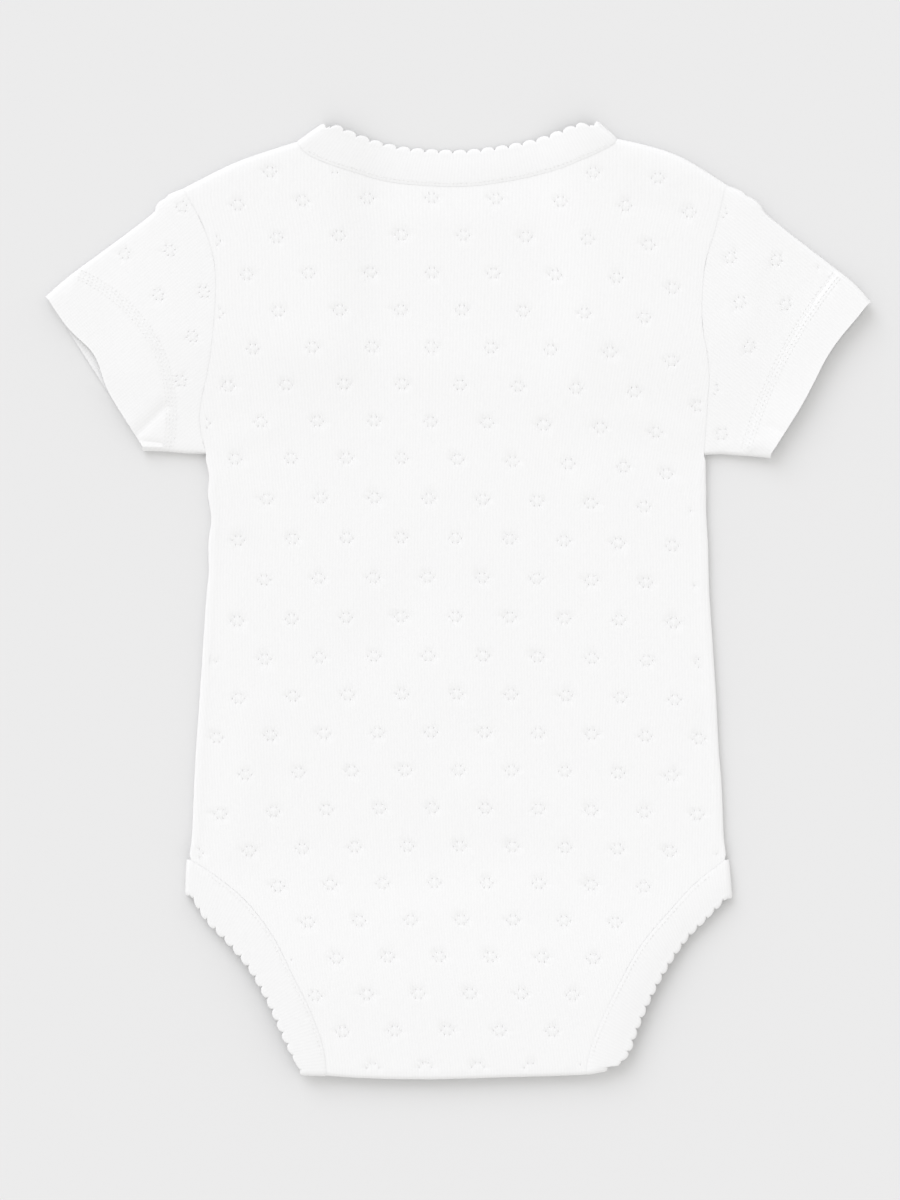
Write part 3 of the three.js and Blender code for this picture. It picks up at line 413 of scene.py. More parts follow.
    def solid(self, name):
        points, faces = np.array(self.points), np.array(self.faces)
        half = np.array(self.half)
        normal = np.zeros_like(points)
        cross = np.cross(points[faces[:, 1]] - points[faces[:, 0]], points[faces[:, 2]] - points[faces[:, 0]])
        for k in range(3):
            np.add.at(normal, faces[:, k], cross)
        normal /= np.maximum(np.linalg.norm(normal, axis=1), 1e-12)[:, None]
        lower = points - normal * half[:, None]
        for i, shift in self.funnel.items():
            lower[i] = points[i] + normal[i] * (half[i] - EYELET_DEPTH)
            lower[i, :2] += shift
        both = np.vstack([points + normal * half[:, None], lower])
        count = len(points)
        edges = set()
        for a, b, c in self.faces:
            edges.update(((a, b), (b, c), (c, a)))
        walls = []
        for a, b in edges:
            if (b, a) not in edges:
                walls.append((a, a + count, b + count, b))
        under = [(a + count, c + count, b + count) for a, b, c in self.faces]
        walls.sort()
        return mesh_object(name, both, list(self.faces) + under + walls, self.knit + self.knit)


# Folds turn in six steps of 30 degrees and stay smooth; the rim of an eyelet is sharper
FOLD_STEPS = 6
SHARP = 34


def mesh_object(name, points, faces, knit):
    mesh = bpy.data.meshes.new(name)
    mesh.from_pydata([tuple(p * METRES) for p in np.asarray(points)], [], [tuple(f) for f in faces])
    mesh.update()
    layer = mesh.attributes.new("knit", "FLOAT_VECTOR", "POINT")
    layer.data.foreach_set("vector", np.array([(a, b, 0.0) for a, b in knit], np.float32).ravel())
    mesh.shade_smooth()
    mesh.set_sharp_from_angle(angle=math.radians(SHARP))
    return place(name, mesh)


def place(name, data):
    obj = bpy.data.objects.new(name, data)
    bpy.context.scene.collection.objects.link(obj)
    return obj


def plain_material(name, colour, **sockets):
    material = bpy.data.materials.new(name)
    material.use_nodes = True
    shader = material.node_tree.nodes["Principled BSDF"]
    shader.inputs["Base Color"].default_value = linear(colour)
    for socket, value in sockets.items():
        shader.inputs[socket.replace("_", " ")].default_value = value
    return material


def linear(hex_colour):
    value = [int(hex_colour[i:i + 2], 16) / 255 for i in (1, 3, 5)]
    return [c / 12.92 if c <= 0.04045 else ((c + 0.055) / 1.055) ** 2.4 for c in value] + [1.0]


def add_node(tree, kind, settings=(), links=()):
    """One node, with its settings and what goes into its sockets."""
    node = tree.nodes.new(kind)
    for key, value in dict(settings).items():
        if isinstance(key, str) and hasattr(node, key):
            setattr(node, key, value)
        else:
            node.inputs[key].default_value = value
    for socket, source in dict(links).items():
        tree.links.new(source, node.inputs[socket])
    return node


# Height of the knitted loops and of the fuzz, as shares of the rib's
LOOP_SHARE = 0.12
FUZZ_SHARE = 0.9


def rib_material(name, ridge, painted_shade_groove, rib_height):
    """Cotton rib: pale ridges, and grooves painted slightly greyer as painted shade, with a soft fuzz of
    loose fibre.
    """
    material = bpy.data.materials.new(name)
    material.use_nodes = True
    tree = material.node_tree
    tree.nodes.clear()
    knit = add_node(tree, "ShaderNodeAttribute", {"attribute_name": "knit"})
    parts = add_node(tree, "ShaderNodeSeparateXYZ", links={0: knit.outputs["Vector"]})
    waves = []
    for axis in ("X", "Y"):
        turns = add_node(tree, "ShaderNodeMath", {"operation": "MULTIPLY", 1: 2 * math.pi},
                         {0: parts.outputs[axis]})
        waves.append(add_node(tree, "ShaderNodeMath", {"operation": "COSINE"}, {0: turns.outputs[0]}))
    rib = add_node(tree, "ShaderNodeMapRange", {"From Min": -1.0, "From Max": 1.0},
                   {0: waves[0].outputs[0]})
    loop_height = add_node(tree, "ShaderNodeMath", {"operation": "MULTIPLY", 1: LOOP_SHARE},
                           {0: waves[1].outputs[0]})
    coordinates = add_node(tree, "ShaderNodeTexCoord")
    fuzz = add_node(tree, "ShaderNodeTexNoise", {"Scale": 900.0, "Detail": 3.0, "Roughness": 0.6},
                    {"Vector": coordinates.outputs["Object"]})
    fuzz_part = add_node(tree, "ShaderNodeMath", {"operation": "MULTIPLY", 1: FUZZ_SHARE},
                         {0: fuzz.outputs[0]})
    knit_height = add_node(tree, "ShaderNodeMath", {"operation": "ADD"},
                           {0: rib.outputs[0], 1: loop_height.outputs[0]})
    height = add_node(tree, "ShaderNodeMath", {"operation": "ADD"},
                      {0: knit_height.outputs[0], 1: fuzz_part.outputs[0]})
    bump = add_node(tree, "ShaderNodeBump", {"Strength": 1.0, "Distance": rib_height * METRES},
                    {"Height": height.outputs[0]})
    patches = add_node(tree, "ShaderNodeTexNoise", {"Scale": 28.0, "Detail": 2.0},
                       {"Vector": coordinates.outputs["Object"]})
    uneven = add_node(tree, "ShaderNodeMapRange", {"To Min": -0.25, "To Max": 0.25}, {0: patches.outputs[0]})
    # Mix factor: the rib wave paints the grooves greyer as painted shade in the rib's hollows; the noise
    # patches add tone that differs at random.
    depth = add_node(tree, "ShaderNodeMath", {"operation": "ADD", "use_clamp": True},
                     {0: rib.outputs[0], 1: uneven.outputs[0]})
    colour = add_node(tree, "ShaderNodeMix", {"data_type": "RGBA"}, {0: depth.outputs[0]})
    colour.inputs[6].default_value = linear(painted_shade_groove)
    colour.inputs[7].default_value = linear(ridge)
    shader = add_node(tree, "ShaderNodeBsdfPrincipled",
                      {"Roughness": 0.85, "Sheen Weight": 0.25, "Sheen Roughness": 0.5,
                       "Specular IOR Level": 0.2, "Subsurface Weight": 0.3,
                       "Subsurface Scale": 0.0006, "Subsurface Radius": (1.0, 1.0, 1.0)},
                      {"Base Color": colour.outputs[2], "Normal": bump.outputs[0]})
    add_node(tree, "ShaderNodeOutputMaterial", links={0: shader.outputs[0]})
    return material


# Pointelle rib colours: the ridge, then the grooves' painted shade, slightly greyer.
COTTON_POINTELLE = rib_material("cotton pointelle rib", "#ececec", "#eaeaea", 0.022)


def half_turn(axis, direction, z_from, z_to, reach=None):
    """Points round a fold, from one height to another, round or as far out as its reach."""
    radius = reach or abs(z_from - z_to) / 2
    turned = []
    for i in range(FOLD_STEPS + 1):
        angle = math.pi * i / FOLD_STEPS
        out = radius * math.sin(angle)
        z = (z_from + z_to) / 2 + (z_from - z_to) / 2 * math.cos(angle)
        turned.append((axis[0] + direction[0] * out, axis[1] + direction[1] * out, z))
    return turned


# Across a side seam: how far in from the fold, how far round it, and the overlocked ridge
SIDE_PROFILE = [(3.0, 0.0, 0.0), (2.55, 0.01, 0.08), (2.1, 0.03, 0.0), (1.3, 0.06, 0.0),
                (0.85, 0.16, 0.0), (0.6, 0.42, 0.0), (0.6, 1.0, 0.0)]


def side_roll(side, height, seam):
    line = side_line(side)
    strength = side_strength(len(line))
    z = height(line[:, 0], line[:, 1])
    rows = []
    for (x, y), z0, s in zip(line, z, strength):
        row = [(x + SIGN[side] * (SIDE_INSET - inset) * s, y, z0 + ((seam - z0) * turn + ridge) * s)
               for inset, turn, ridge in SIDE_PROFILE]
        rows.append(row[::-1] if side == "left" else row)
    return rows


LAP_EDGE = [((62.6, 158.0), (49.6, 160.0)), ((69.5, 142.0), (56.6, 138.6)),
            ((80.0, 130.2), (71.6, 119.6)), ((93.0, 121.0), (92.6, 105.0))]
# Where the lap's seam and its edge meet the armhole
LAP_SEAM_AT, LAP_EDGE_AT = 123.0, 105.0
NECK_EDGE = [(-51.7, 180.7), (-47.0, 179.8), (-40.4, 177.2), (-31.4, 174.0), (-19.2, 171.3),
             (0.0, 170.3), (17.0, 172.0), (30.4, 174.8), (39.6, 178.0), (46.8, 180.4), (53.2, 181.6)]


def arm_at(side, y):
    line = armhole_line(side, -GAP / 2)
    order = np.argsort(line[:, 1])
    return np.interp(y, line[order, 1], line[order, 0])


def lap_lines(side):
    """The lap's seam and its binding's edge, from the armhole to the shoulder fold."""
    seam_end = (arm_at(side, LAP_SEAM_AT), LAP_SEAM_AT)
    edge_end = (arm_at(side, LAP_EDGE_AT), LAP_EDGE_AT)
    seam = [(SIGN[side] * x, y) for (x, y), _ in LAP_EDGE[-2::-1]]
    edge = [(SIGN[side] * x, y) for _, (x, y) in LAP_EDGE[-2::-1]]
    neck = shoulder_line(side)[-1]
    outer = NECK_EDGE[0] if side == "left" else NECK_EDGE[-1]
    return (smooth_line([seam_end] + seam + [tuple(neck)]),
            smooth_line([edge_end] + edge + [tuple(shoulder_axis(outer, side))]))


def closed_loop(*lines):
    loop = np.vstack([np.asarray(line)[:-1] for line in lines])
    area = np.sum(loop[:, 0] * np.roll(loop[:, 1], -1) - np.roll(loop[:, 0], -1) * loop[:, 1])
    return loop if area > 0 else loop[::-1]


def panel_side(side, leg):
    arm = armhole_line(side, -GAP / 2)
    return np.vstack([arm, side_line(side)[1:], leg[1:]])


def level(z):
    return lambda x, y: np.full_like(x, z)


back = Cloth()
left_edge, right_edge = panel_side("left", back_leg("left")), panel_side("right", back_leg("right"))
crotch_line = smooth_line([left_edge[-1], right_edge[-1]])
crotch_line[:, 1] = crotch_axis(crotch_line[:, 0])
back_outline = closed_loop(shoulder_line("left"), neck_seam(), shoulder_line("right")[::-1],
                           right_edge, crotch_line[::-1], left_edge[::-1])
back_seams = [armhole_line("left", -GAP / 2), armhole_line("right", -GAP / 2), neck_seam(),
              back_leg("left"), back_leg("right")]
back.cut(back_outline, body_rings(), back_height, body_knit, seams=back_seams)
for side in SIDES:
    back.patch(side_roll(side, back_height, SIDE_SEAM + SEAM_GAP / 2), body_knit)
    shoulder = shoulder_line(side)
    turns = [half_turn(p, fold_direction(side), LAP_MIDDLE, float(back_height(p[0], p[1]))) for p in shoulder]
    rows = list(zip(*turns))
    back.patch(rows if side == "left" else [row[::-1] for row in rows], body_knit)
    arm = armhole_line(side, -GAP / 2)
    arm = arm[arm[:, 1] > LAP_SEAM_AT + 1]
    lap_seam, _ = lap_lines(side)
    lap_outline = closed_loop(shoulder[::-1], np.vstack([arm, lap_seam[:1]]), lap_seam)
    back.cut(lap_outline, body_rings(), level(LAP_MIDDLE), body_knit, turn=-1)
turns = [half_turn(p, (0, -1), float(back_height(p[0], p[1])), FLAP_MIDDLE) for p in crotch_line]
back.patch(list(zip(*turns)), body_knit)
flap_rise = np.array([0.0, FLAP_LENGTH])
flap_outline = closed_loop(crotch_line, smooth_line([crotch_line[-1], crotch_line[-1] + flap_rise]),
                           crotch_line[::-1] + flap_rise,
                           smooth_line([crotch_line[0] + flap_rise, crotch_line[0]]))
back.cut(flap_outline, [], level(FLAP_MIDDLE), body_knit, turn=-1, punched=SNAP_HOLES)
back_cloth = back.solid("back_cloth")
back_cloth.data.materials.append(COTTON_POINTELLE)
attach(back_cloth, "root")
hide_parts("back_panel")


# The seam allowances inside: narrow overlocked strips of the same rib, turned to one side behind
# each seam, which close the seams from within.
ALLOWANCE = 0.4
ALLOWANCE_HALF = 1.9
ALLOWANCE_BELOW = CLOTH / 2 + ALLOWANCE / 2 + 0.06


def seam_allowance(name, line, height):
    """A narrow strip of cloth behind a seam, following it under the cloth's middle."""
    line = smooth_line(line.tolist(), 1.6)
    strip = Cloth()
    rows = []
    for p, n in zip(line, beside(line)):
        row = []
        for across in (-1.0, -0.4, 0.4, 1.0):
            x, y = p + n * across * ALLOWANCE_HALF
            row.append((x, y, float(height(p[0], p[1])) - ALLOWANCE_BELOW))
        rows.append(row)
    strip.patch(rows, body_knit, ALLOWANCE)
    allowance = strip.solid(name)
    allowance.data.materials.append(COTTON_POINTELLE)
    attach(allowance, "root")
    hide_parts("back_panel")
    return allowance


allowances = [seam_allowance("neck_allowance", neck_seam()[1:-1], back_height)]
for side in SIDES:
    allowances.append(seam_allowance(f"armhole_allowance_{side}", armhole_line(side, 0.0)[1:-2],
                                     back_height))
    allowances.append(seam_allowance(f"leg_allowance_{side}", back_leg(side)[3:-1], back_height))


# Front: one cut of the same rib, under the back, with its shoulders beneath the laps and its
# lower end snapped over the crotch flap. It lies on the table, so its outer face is flat.
FRONT_NECK = {"middle": 160.0, "half_width": 66.0, "drop": 43.0, "out_half_width": 53.5,
              "out_drop": 30.5, "start": math.radians(14)}
LEG_FRONT = [(101.3, -98.6), (84.0, -103.2), (68.4, -114.6), (56.2, -130.6), (49.4, -149.6),
             (46.6, -166.0), (45.8, -177.4)]
LEG_FRONT_EDGE = [(101.8, -112.0), (88.6, -115.0), (75.6, -123.0), (65.6, -136.2), (60.0, -152.2),
                  (57.4, -167.2), (56.6, -177.4)]
FRONT_CREASES = [((-40, 60), (20, 30), 10, 0.25), ((30, -20), (70, -60), 9, 0.3),
                 ((-70, -30), (-50, -90), 8, 0.25), ((-10, 90), (40, 100), 7, 0.2)]
LAP_RISE = 1.85
FRONT_RINGS_ABOVE = -156.0
SNAP_LIFT = 1.1


def over_lap(x, y):
    at = [edge[1] for _, edge in LAP_EDGE][::-1]
    out = [edge[0] for _, edge in LAP_EDGE][::-1]
    slope = (out[1] - out[0]) / (at[1] - at[0])
    edge = np.where(y < at[0], out[0] + (y - at[0]) * slope, np.interp(y, at, out))
    return 1 - ramp(edge - np.abs(x), 13, 23)


def front_height(x, y):
    x, y = np.asarray(x, float), np.asarray(y, float)
    return (FRONT_MIDDLE + LAP_RISE * over_lap(x, y) + SNAP_LIFT * ramp(-y, 132, 154)
            + crease_height(x, y, FRONT_CREASES))


def front_neck_line(half_width, drop):
    line = []
    for i in range(81):
        angle = FRONT_NECK["start"] + (math.pi - 2 * FRONT_NECK["start"]) * (i / 80)
        line.append((-half_width * math.cos(angle), FRONT_NECK["middle"] - drop * math.sin(angle)))
    return np.array(line)


def front_leg(side):
    return leg_seam(side, [(SIGN[side] * x, y) for x, y in LEG_FRONT])


front = Cloth()
front_neck = front_neck_line(FRONT_NECK["half_width"], FRONT_NECK["drop"])
left_edge, right_edge = panel_side("left", front_leg("left")), panel_side("right", front_leg("right"))
front_end = smooth_line([left_edge[-1], right_edge[-1]])
front_outline = closed_loop(smooth_line([left_edge[0], front_neck[0]]), front_neck,
                            smooth_line([front_neck[-1], right_edge[0]]), right_edge,
                            front_end[::-1], left_edge[::-1])
front_seams = [front_neck, front_leg("left"), front_leg("right")]
front_rings = [ring for ring in body_rings(0.5) if ring[1] > FRONT_RINGS_ABOVE]
front.cut(front_outline, front_rings, front_height, body_knit, turn=-1, seams=front_seams,
          punched=SNAP_HOLES)
for side in SIDES:
    roll = side_roll(side, front_height, SIDE_SEAM - SEAM_GAP / 2)
    front.patch([row[::-1] for row in roll], body_knit)
front_cloth = front.solid("front_cloth")
front_cloth.data.materials.append(COTTON_POINTELLE)
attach(front_cloth, "root")
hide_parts("front_panel")


# Sleeves: each one cut of the same rib with the wales along the arm, sewn into a tube under the
# arm, set into the armhole, and turned up once at the hem, so the hem is double and has no
# eyelets open through it.
SLEEVE = {
    "left": [((-113.0, 151.4), (-103.0, 55.6), 6), ((-116.0, 146.4), (-105.4, 55.8), 9),
             ((-145.0, 125.0), (-109.6, 56.4), 14), ((-151.0, 120.2), (-114.4, 56.7), 7),
             ((-156.4, 115.4), (-118.8, 56.8), 0)],
    "right": [((112.6, 151.8), (99.0, 55.3), 6), ((118.2, 145.2), (102.6, 55.1), 8),
              ((144.6, 124.8), (108.2, 54.8), 4), ((151.0, 119.4), (113.4, 54.4), 2),
              ((156.2, 113.4), (117.8, 54.0), 0)],
}
SLEEVE_HEM = 1.6
SLEEVE_LIFT = {"left": 0.2, "right": 1.2}
# Left hem's upper layer and the whole right hem are drawn back: how far, where and how widely
HEM_DRAWN_BACK = {"left": (3.4, 0.4, 0.16), "right": (2.4, 0.3, 0.26)}
SLEEVE_RINGS = {"left": ((-126.5, 131.5), (12.9, -15.8), (17.3, 0.96)),
                "right": ((120.8, 128.8), (-13.8, -16.0), (-17.3, 0.96))}
SLEEVE_WALES = {"left": math.radians(-50.7), "right": math.radians(50.7)}
WALE = 1.18
HEM_STITCHES = (-1.9, -0.7, 0.6, 1.8)
RING_FROM_STITCH = 4.5
UNDER_CLEAR = 0.05
UPPER_RISE = 0.6


def sleeve_knit(side):
    angle = SLEEVE_WALES[side]
    ca, sa = math.cos(angle), math.sin(angle)
    return lambda x, y: ((x * ca + y * sa) / WALE, (-x * sa + y * ca) / COURSE)


SLEEVE_FOLD = (BACK_MIDDLE - FRONT_MIDDLE) / 2


def sleeve_section(side, index, upper_layer=True, count=46):
    """One line across a layer of the sleeve, between its two folds."""
    inset = SLEEVE_FOLD + WALL / 2
    if index == 0:
        line = armhole_line(side, GAP / 2)
        line = smooth_line(line[::4].tolist() + [line[-1].tolist()], count=count)
        line[-1, 1] += inset
        return line
    upper, lower, bow = SLEEVE[side][index - 1]
    upper, lower = np.array(upper), np.array(lower)
    slope = (lower - upper) / np.linalg.norm(lower - upper)
    start, end = upper + slope * inset, lower - slope * inset
    t = np.linspace(0, 1, count + 1)[:, None]
    chord = end - start
    outward = -SIGN[side] * np.array([-chord[1], chord[0]]) / np.linalg.norm(chord)
    extra = bow * np.sin(math.pi * t) ** 0.8
    if index == len(SLEEVE[side]) and (side == "right" or upper_layer):
        depth, at, spread = HEM_DRAWN_BACK[side]
        extra = extra + depth * np.exp(-(((t - at) / spread) ** 2)) * np.sqrt(np.sin(math.pi * t))
    return start + chord * t + outward * extra


SLEEVE_CREASES = [((-122, 62.5), (-111, 73.5), 1.8, -0.62), ((-124, 67), (-115, 77), 3.2, 0.22),
                  ((-112, 59.5), (-121, 60.5), 1.0, -0.5), ((-128, 118), (-118, 100), 6, 0.3),
                  ((-140, 92), (-124, 84), 7, 0.35), ((118, 66), (126, 63), 1.6, -0.4),
                  ((136, 110), (124, 88), 6, 0.35), ((112, 128), (108, 104), 5, 0.3)]
NARROW_CREASE = 3.0
SLEEVE_ENDS = {side: (sleeve_section(side, 0), sleeve_section(side, len(SLEEVE[side]), False))
               for side in SIDES}
HEM_LINES = {side: smooth_line(sleeve_section(side, 3).tolist(), 0.8) for side in SIDES}


def as_points(x, y):
    return np.column_stack([np.ravel(x), np.ravel(y)])


def sleeve_reach(side, x, y):
    """How far along the sleeve a place is, from 0 at the armhole to 1 at the hem."""
    near, far = (distance_to(as_points(x, y), line) for line in SLEEVE_ENDS[side])
    return (near / np.maximum(near + far, 1e-6)).reshape(np.shape(x))


def in_hem(side, x, y):
    edge = SLEEVE_ENDS[side][1]
    loop = closed_loop(np.vstack([HEM_LINES[side], edge[::-1] + SIGN[side] * np.array([9.0, 0.0]),
                                  HEM_LINES[side][:1]]))
    near = distance_to(as_points(x, y), HEM_LINES[side])
    return ramp(np.where(inside(as_points(x, y), loop), near, -near), -0.5, 0.5).reshape(np.shape(x))


def hem_thickness(side, x, y):
    return CLOTH + (SLEEVE_HEM - CLOTH) * in_hem(side, x, y)


def sleeve_under(side, x, y):
    lift = SLEEVE_LIFT[side] * sleeve_reach(side, x, y) ** 2
    return hem_thickness(side, x, y) / 2 + UNDER_CLEAR + lift


def sleeve_upper(side, x, y):
    low = sleeve_under(side, x, y) + hem_thickness(side, x, y) + SEAM_GAP
    rise = SLEEVE_LIFT[side] * sleeve_reach(side, x, y) ** 2 + UPPER_RISE * sleeve_reach(side, x, y)
    return np.maximum(back_height(x, y), low) + rise + crease_height(x, y, SLEEVE_CREASES)


# The thread of the hems and bindings: white polyester, in small arched stitches on the cloth
THREAD = 0.11
STITCH_SIDES = 5
STITCH_LENGTH, STITCH_GAP, STITCH_LIFT, STITCH_ARCH = 0.9, 0.8, 0.03, 0.1


def thread_mesh(name, stitches):
    """Short arched stitches, each given by its two ends and the height of its middle."""
    points, faces = [], []
    for start, end, rise in stitches:
        start, end = np.array(start), np.array(end)
        along_stitch = (end - start) / np.linalg.norm(end - start)
        side_way = np.cross((0.0, 0.0, 1.0), along_stitch)
        side_way /= np.linalg.norm(side_way)
        up = np.cross(along_stitch, side_way)
        first = len(points)
        for t, size in ((0.0, 0.45), (0.15, 0.9), (0.5, 1.0), (0.85, 0.9), (1.0, 0.45)):
            middle = start + (end - start) * t + np.array((0, 0, rise * math.sin(math.pi * t)))
            for k in range(STITCH_SIDES):
                turn = 2 * math.pi * k / STITCH_SIDES
                points.append(middle + THREAD * size * (side_way * math.cos(turn) + up * math.sin(turn)))
        for ring in range(4):
            for k in range(STITCH_SIDES):
                a, b = first + ring * STITCH_SIDES + k, first + ring * STITCH_SIDES + (k + 1) % STITCH_SIDES
                faces.append((a, b, b + STITCH_SIDES, a + STITCH_SIDES))
        faces.append(tuple(first + k for k in range(STITCH_SIDES))[::-1])
        faces.append(tuple(first + 4 * STITCH_SIDES + k for k in range(STITCH_SIDES)))
    return mesh_object(name, points, faces, [(0.0, 0.0)] * len(points))


def stitch_row(line, height, sign=1):
    """Stitches in a row along a line, on the face of the cloth that looks up or down."""
    run = distance_along(line)
    start = np.arange(STITCH_GAP / 2, run[-1] - STITCH_LENGTH, STITCH_LENGTH + STITCH_GAP)
    ends = []
    for at in (start, start + STITCH_LENGTH):
        x, y = np.interp(at, run, line[:, 0]), np.interp(at, run, line[:, 1])
        ends.append(np.column_stack([x, y, height(x, y) + sign * STITCH_LIFT]))
    return [(a, b, sign * STITCH_ARCH) for a, b in zip(*ends)]


thread = plain_material("white polyester thread", "#eeeeed", Roughness=0.5, Sheen_Weight=0.2)


def sewing(name, rows, node):
    stitches = thread_mesh(name, rows)
    stitches.data.materials.append(thread)
    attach(stitches, "root")
    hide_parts(node)
    return stitches


def sleeve_face(side, layer, sign, x, y):
    return layer(side, x, y) + sign * hem_thickness(side, x, y) / 2


for side in SIDES:
    knit = sleeve_knit(side)
    sections = range(len(SLEEVE[side]) + 1)
    top_upper = smooth_line([sleeve_section(side, i)[0] for i in sections], 2.0)
    top_lower = smooth_line([sleeve_section(side, i)[-1] for i in sections], 1.0)
    sleeve = Cloth()
    origin, ring_step, row_step = (np.array(v) for v in SLEEVE_RINGS[side])
    rings = [(*(origin + i * ring_step + j * row_step), SLEEVE_WALES[side])
             for i in range(-6, 7) for j in range(-6, 7)]
    rings = [r for r in rings if in_hem(side, np.array([r[0]]), np.array([r[1]]))[0] < 0.01]
    stitch = smooth_line(sleeve_section(side, 3).tolist(), 1.5)
    finer = [offset(stitch, shift) for shift in (0.7, -0.7)]
    for start, end, half_width, _ in SLEEVE_CREASES:
        if half_width < NARROW_CREASE:
            crease = smooth_line([start, end], 1.1)
            finer += [offset(crease, shift) for shift in (-2.4, -1.2, 0.0, 1.2, 2.4)]
    rings = [r for r in rings if np.linalg.norm(stitch - np.array(r[:2]), axis=1).min() > RING_FROM_STITCH]
    for layer, height in (("upper", sleeve_upper), ("under", sleeve_under)):
        hem = sleeve_section(side, len(SLEEVE[side]), layer == "upper", count=50)
        outline = closed_loop(top_upper, hem, top_lower[::-1], sleeve_section(side, 0)[::-1])
        sleeve.cut(outline, rings, partial(height, side), knit, turn=1 if layer == "upper" else -1,
                   thickness=partial(hem_thickness, side), seams=[sleeve_section(side, 0)],
                   extra=np.vstack(finer))
    for line, order in ((top_upper, 1), (top_lower, -1)):
        top_z = sleeve_upper(side, line[:, 0], line[:, 1])
        under_z = sleeve_under(side, line[:, 0], line[:, 1])
        inner = sleeve_section(side, 3)
        middle = inner[len(inner) // 2]
        rows = []
        for i, p in enumerate(line):
            along_edge = line[min(i + 1, len(line) - 1)] - line[max(i - 1, 0)]
            out = np.array([-along_edge[1], along_edge[0]]) / np.linalg.norm(along_edge)
            if np.dot(out, p - middle) < 0:
                out = -out
            if i == 0 and order == 1:
                out = fold_direction(side)
            reach = None if i < 4 and order == 1 else SLEEVE_FOLD
            rows.append(half_turn(p, out, under_z[i], top_z[i], reach=reach))
        if (side == "left") == (order == 1):
            rows = rows[::-1]
        sleeve.patch(list(zip(*rows)), knit)
    sleeve_cloth = sleeve.solid(f"sleeve_{side}_cloth")
    sleeve_cloth.data.materials.append(COTTON_POINTELLE)
    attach(sleeve_cloth, "root")
    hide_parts(f"sleeve_{side}")
    rows = []
    for distance in HEM_STITCHES:
        row = offset(sleeve_section(side, 3), distance)
        rows += stitch_row(row, partial(sleeve_face, side, sleeve_upper, 1))
        rows += stitch_row(row, partial(sleeve_face, side, sleeve_under, -1), sign=-1)
    stitches = sewing(f"sleeve_coverstitch_{side}", rows, f"sleeve_{side}")


# Neck binding of the back: a doubled strip of plain 1x1 rib with a picot edge, sewn on along one
# seam. It runs up one lap, over the shoulder, round the back neck and down the other lap.
BINDING = 1.4
NECK_PICOT = (5.2, 1.5)
LEG_PICOT = (4.6, 1.4)
BINDING_WALE = 1.25
BINDING_ARCH = 0.2
PICOT_ROOT = 2.0
# Across the strip: place from the seam, or distance from the picot edge, and half the thickness
BINDING_ACROSS = [(0.0, None, 0.5), (0.06, None, 0.64), (0.2, None, 0.7), (0.45, None, 0.7),
                  (None, 3.0, 0.7), (None, 2.3, 0.63), (None, 1.7, 0.68), (None, 0.9, 0.64),
                  (None, 0.35, 0.46), (None, 0.08, 0.22)]


def along(line, t):
    run = distance_along(line)
    return np.array([np.interp(t * run[-1], run, line[:, k]) for k in range(line.shape[1])])


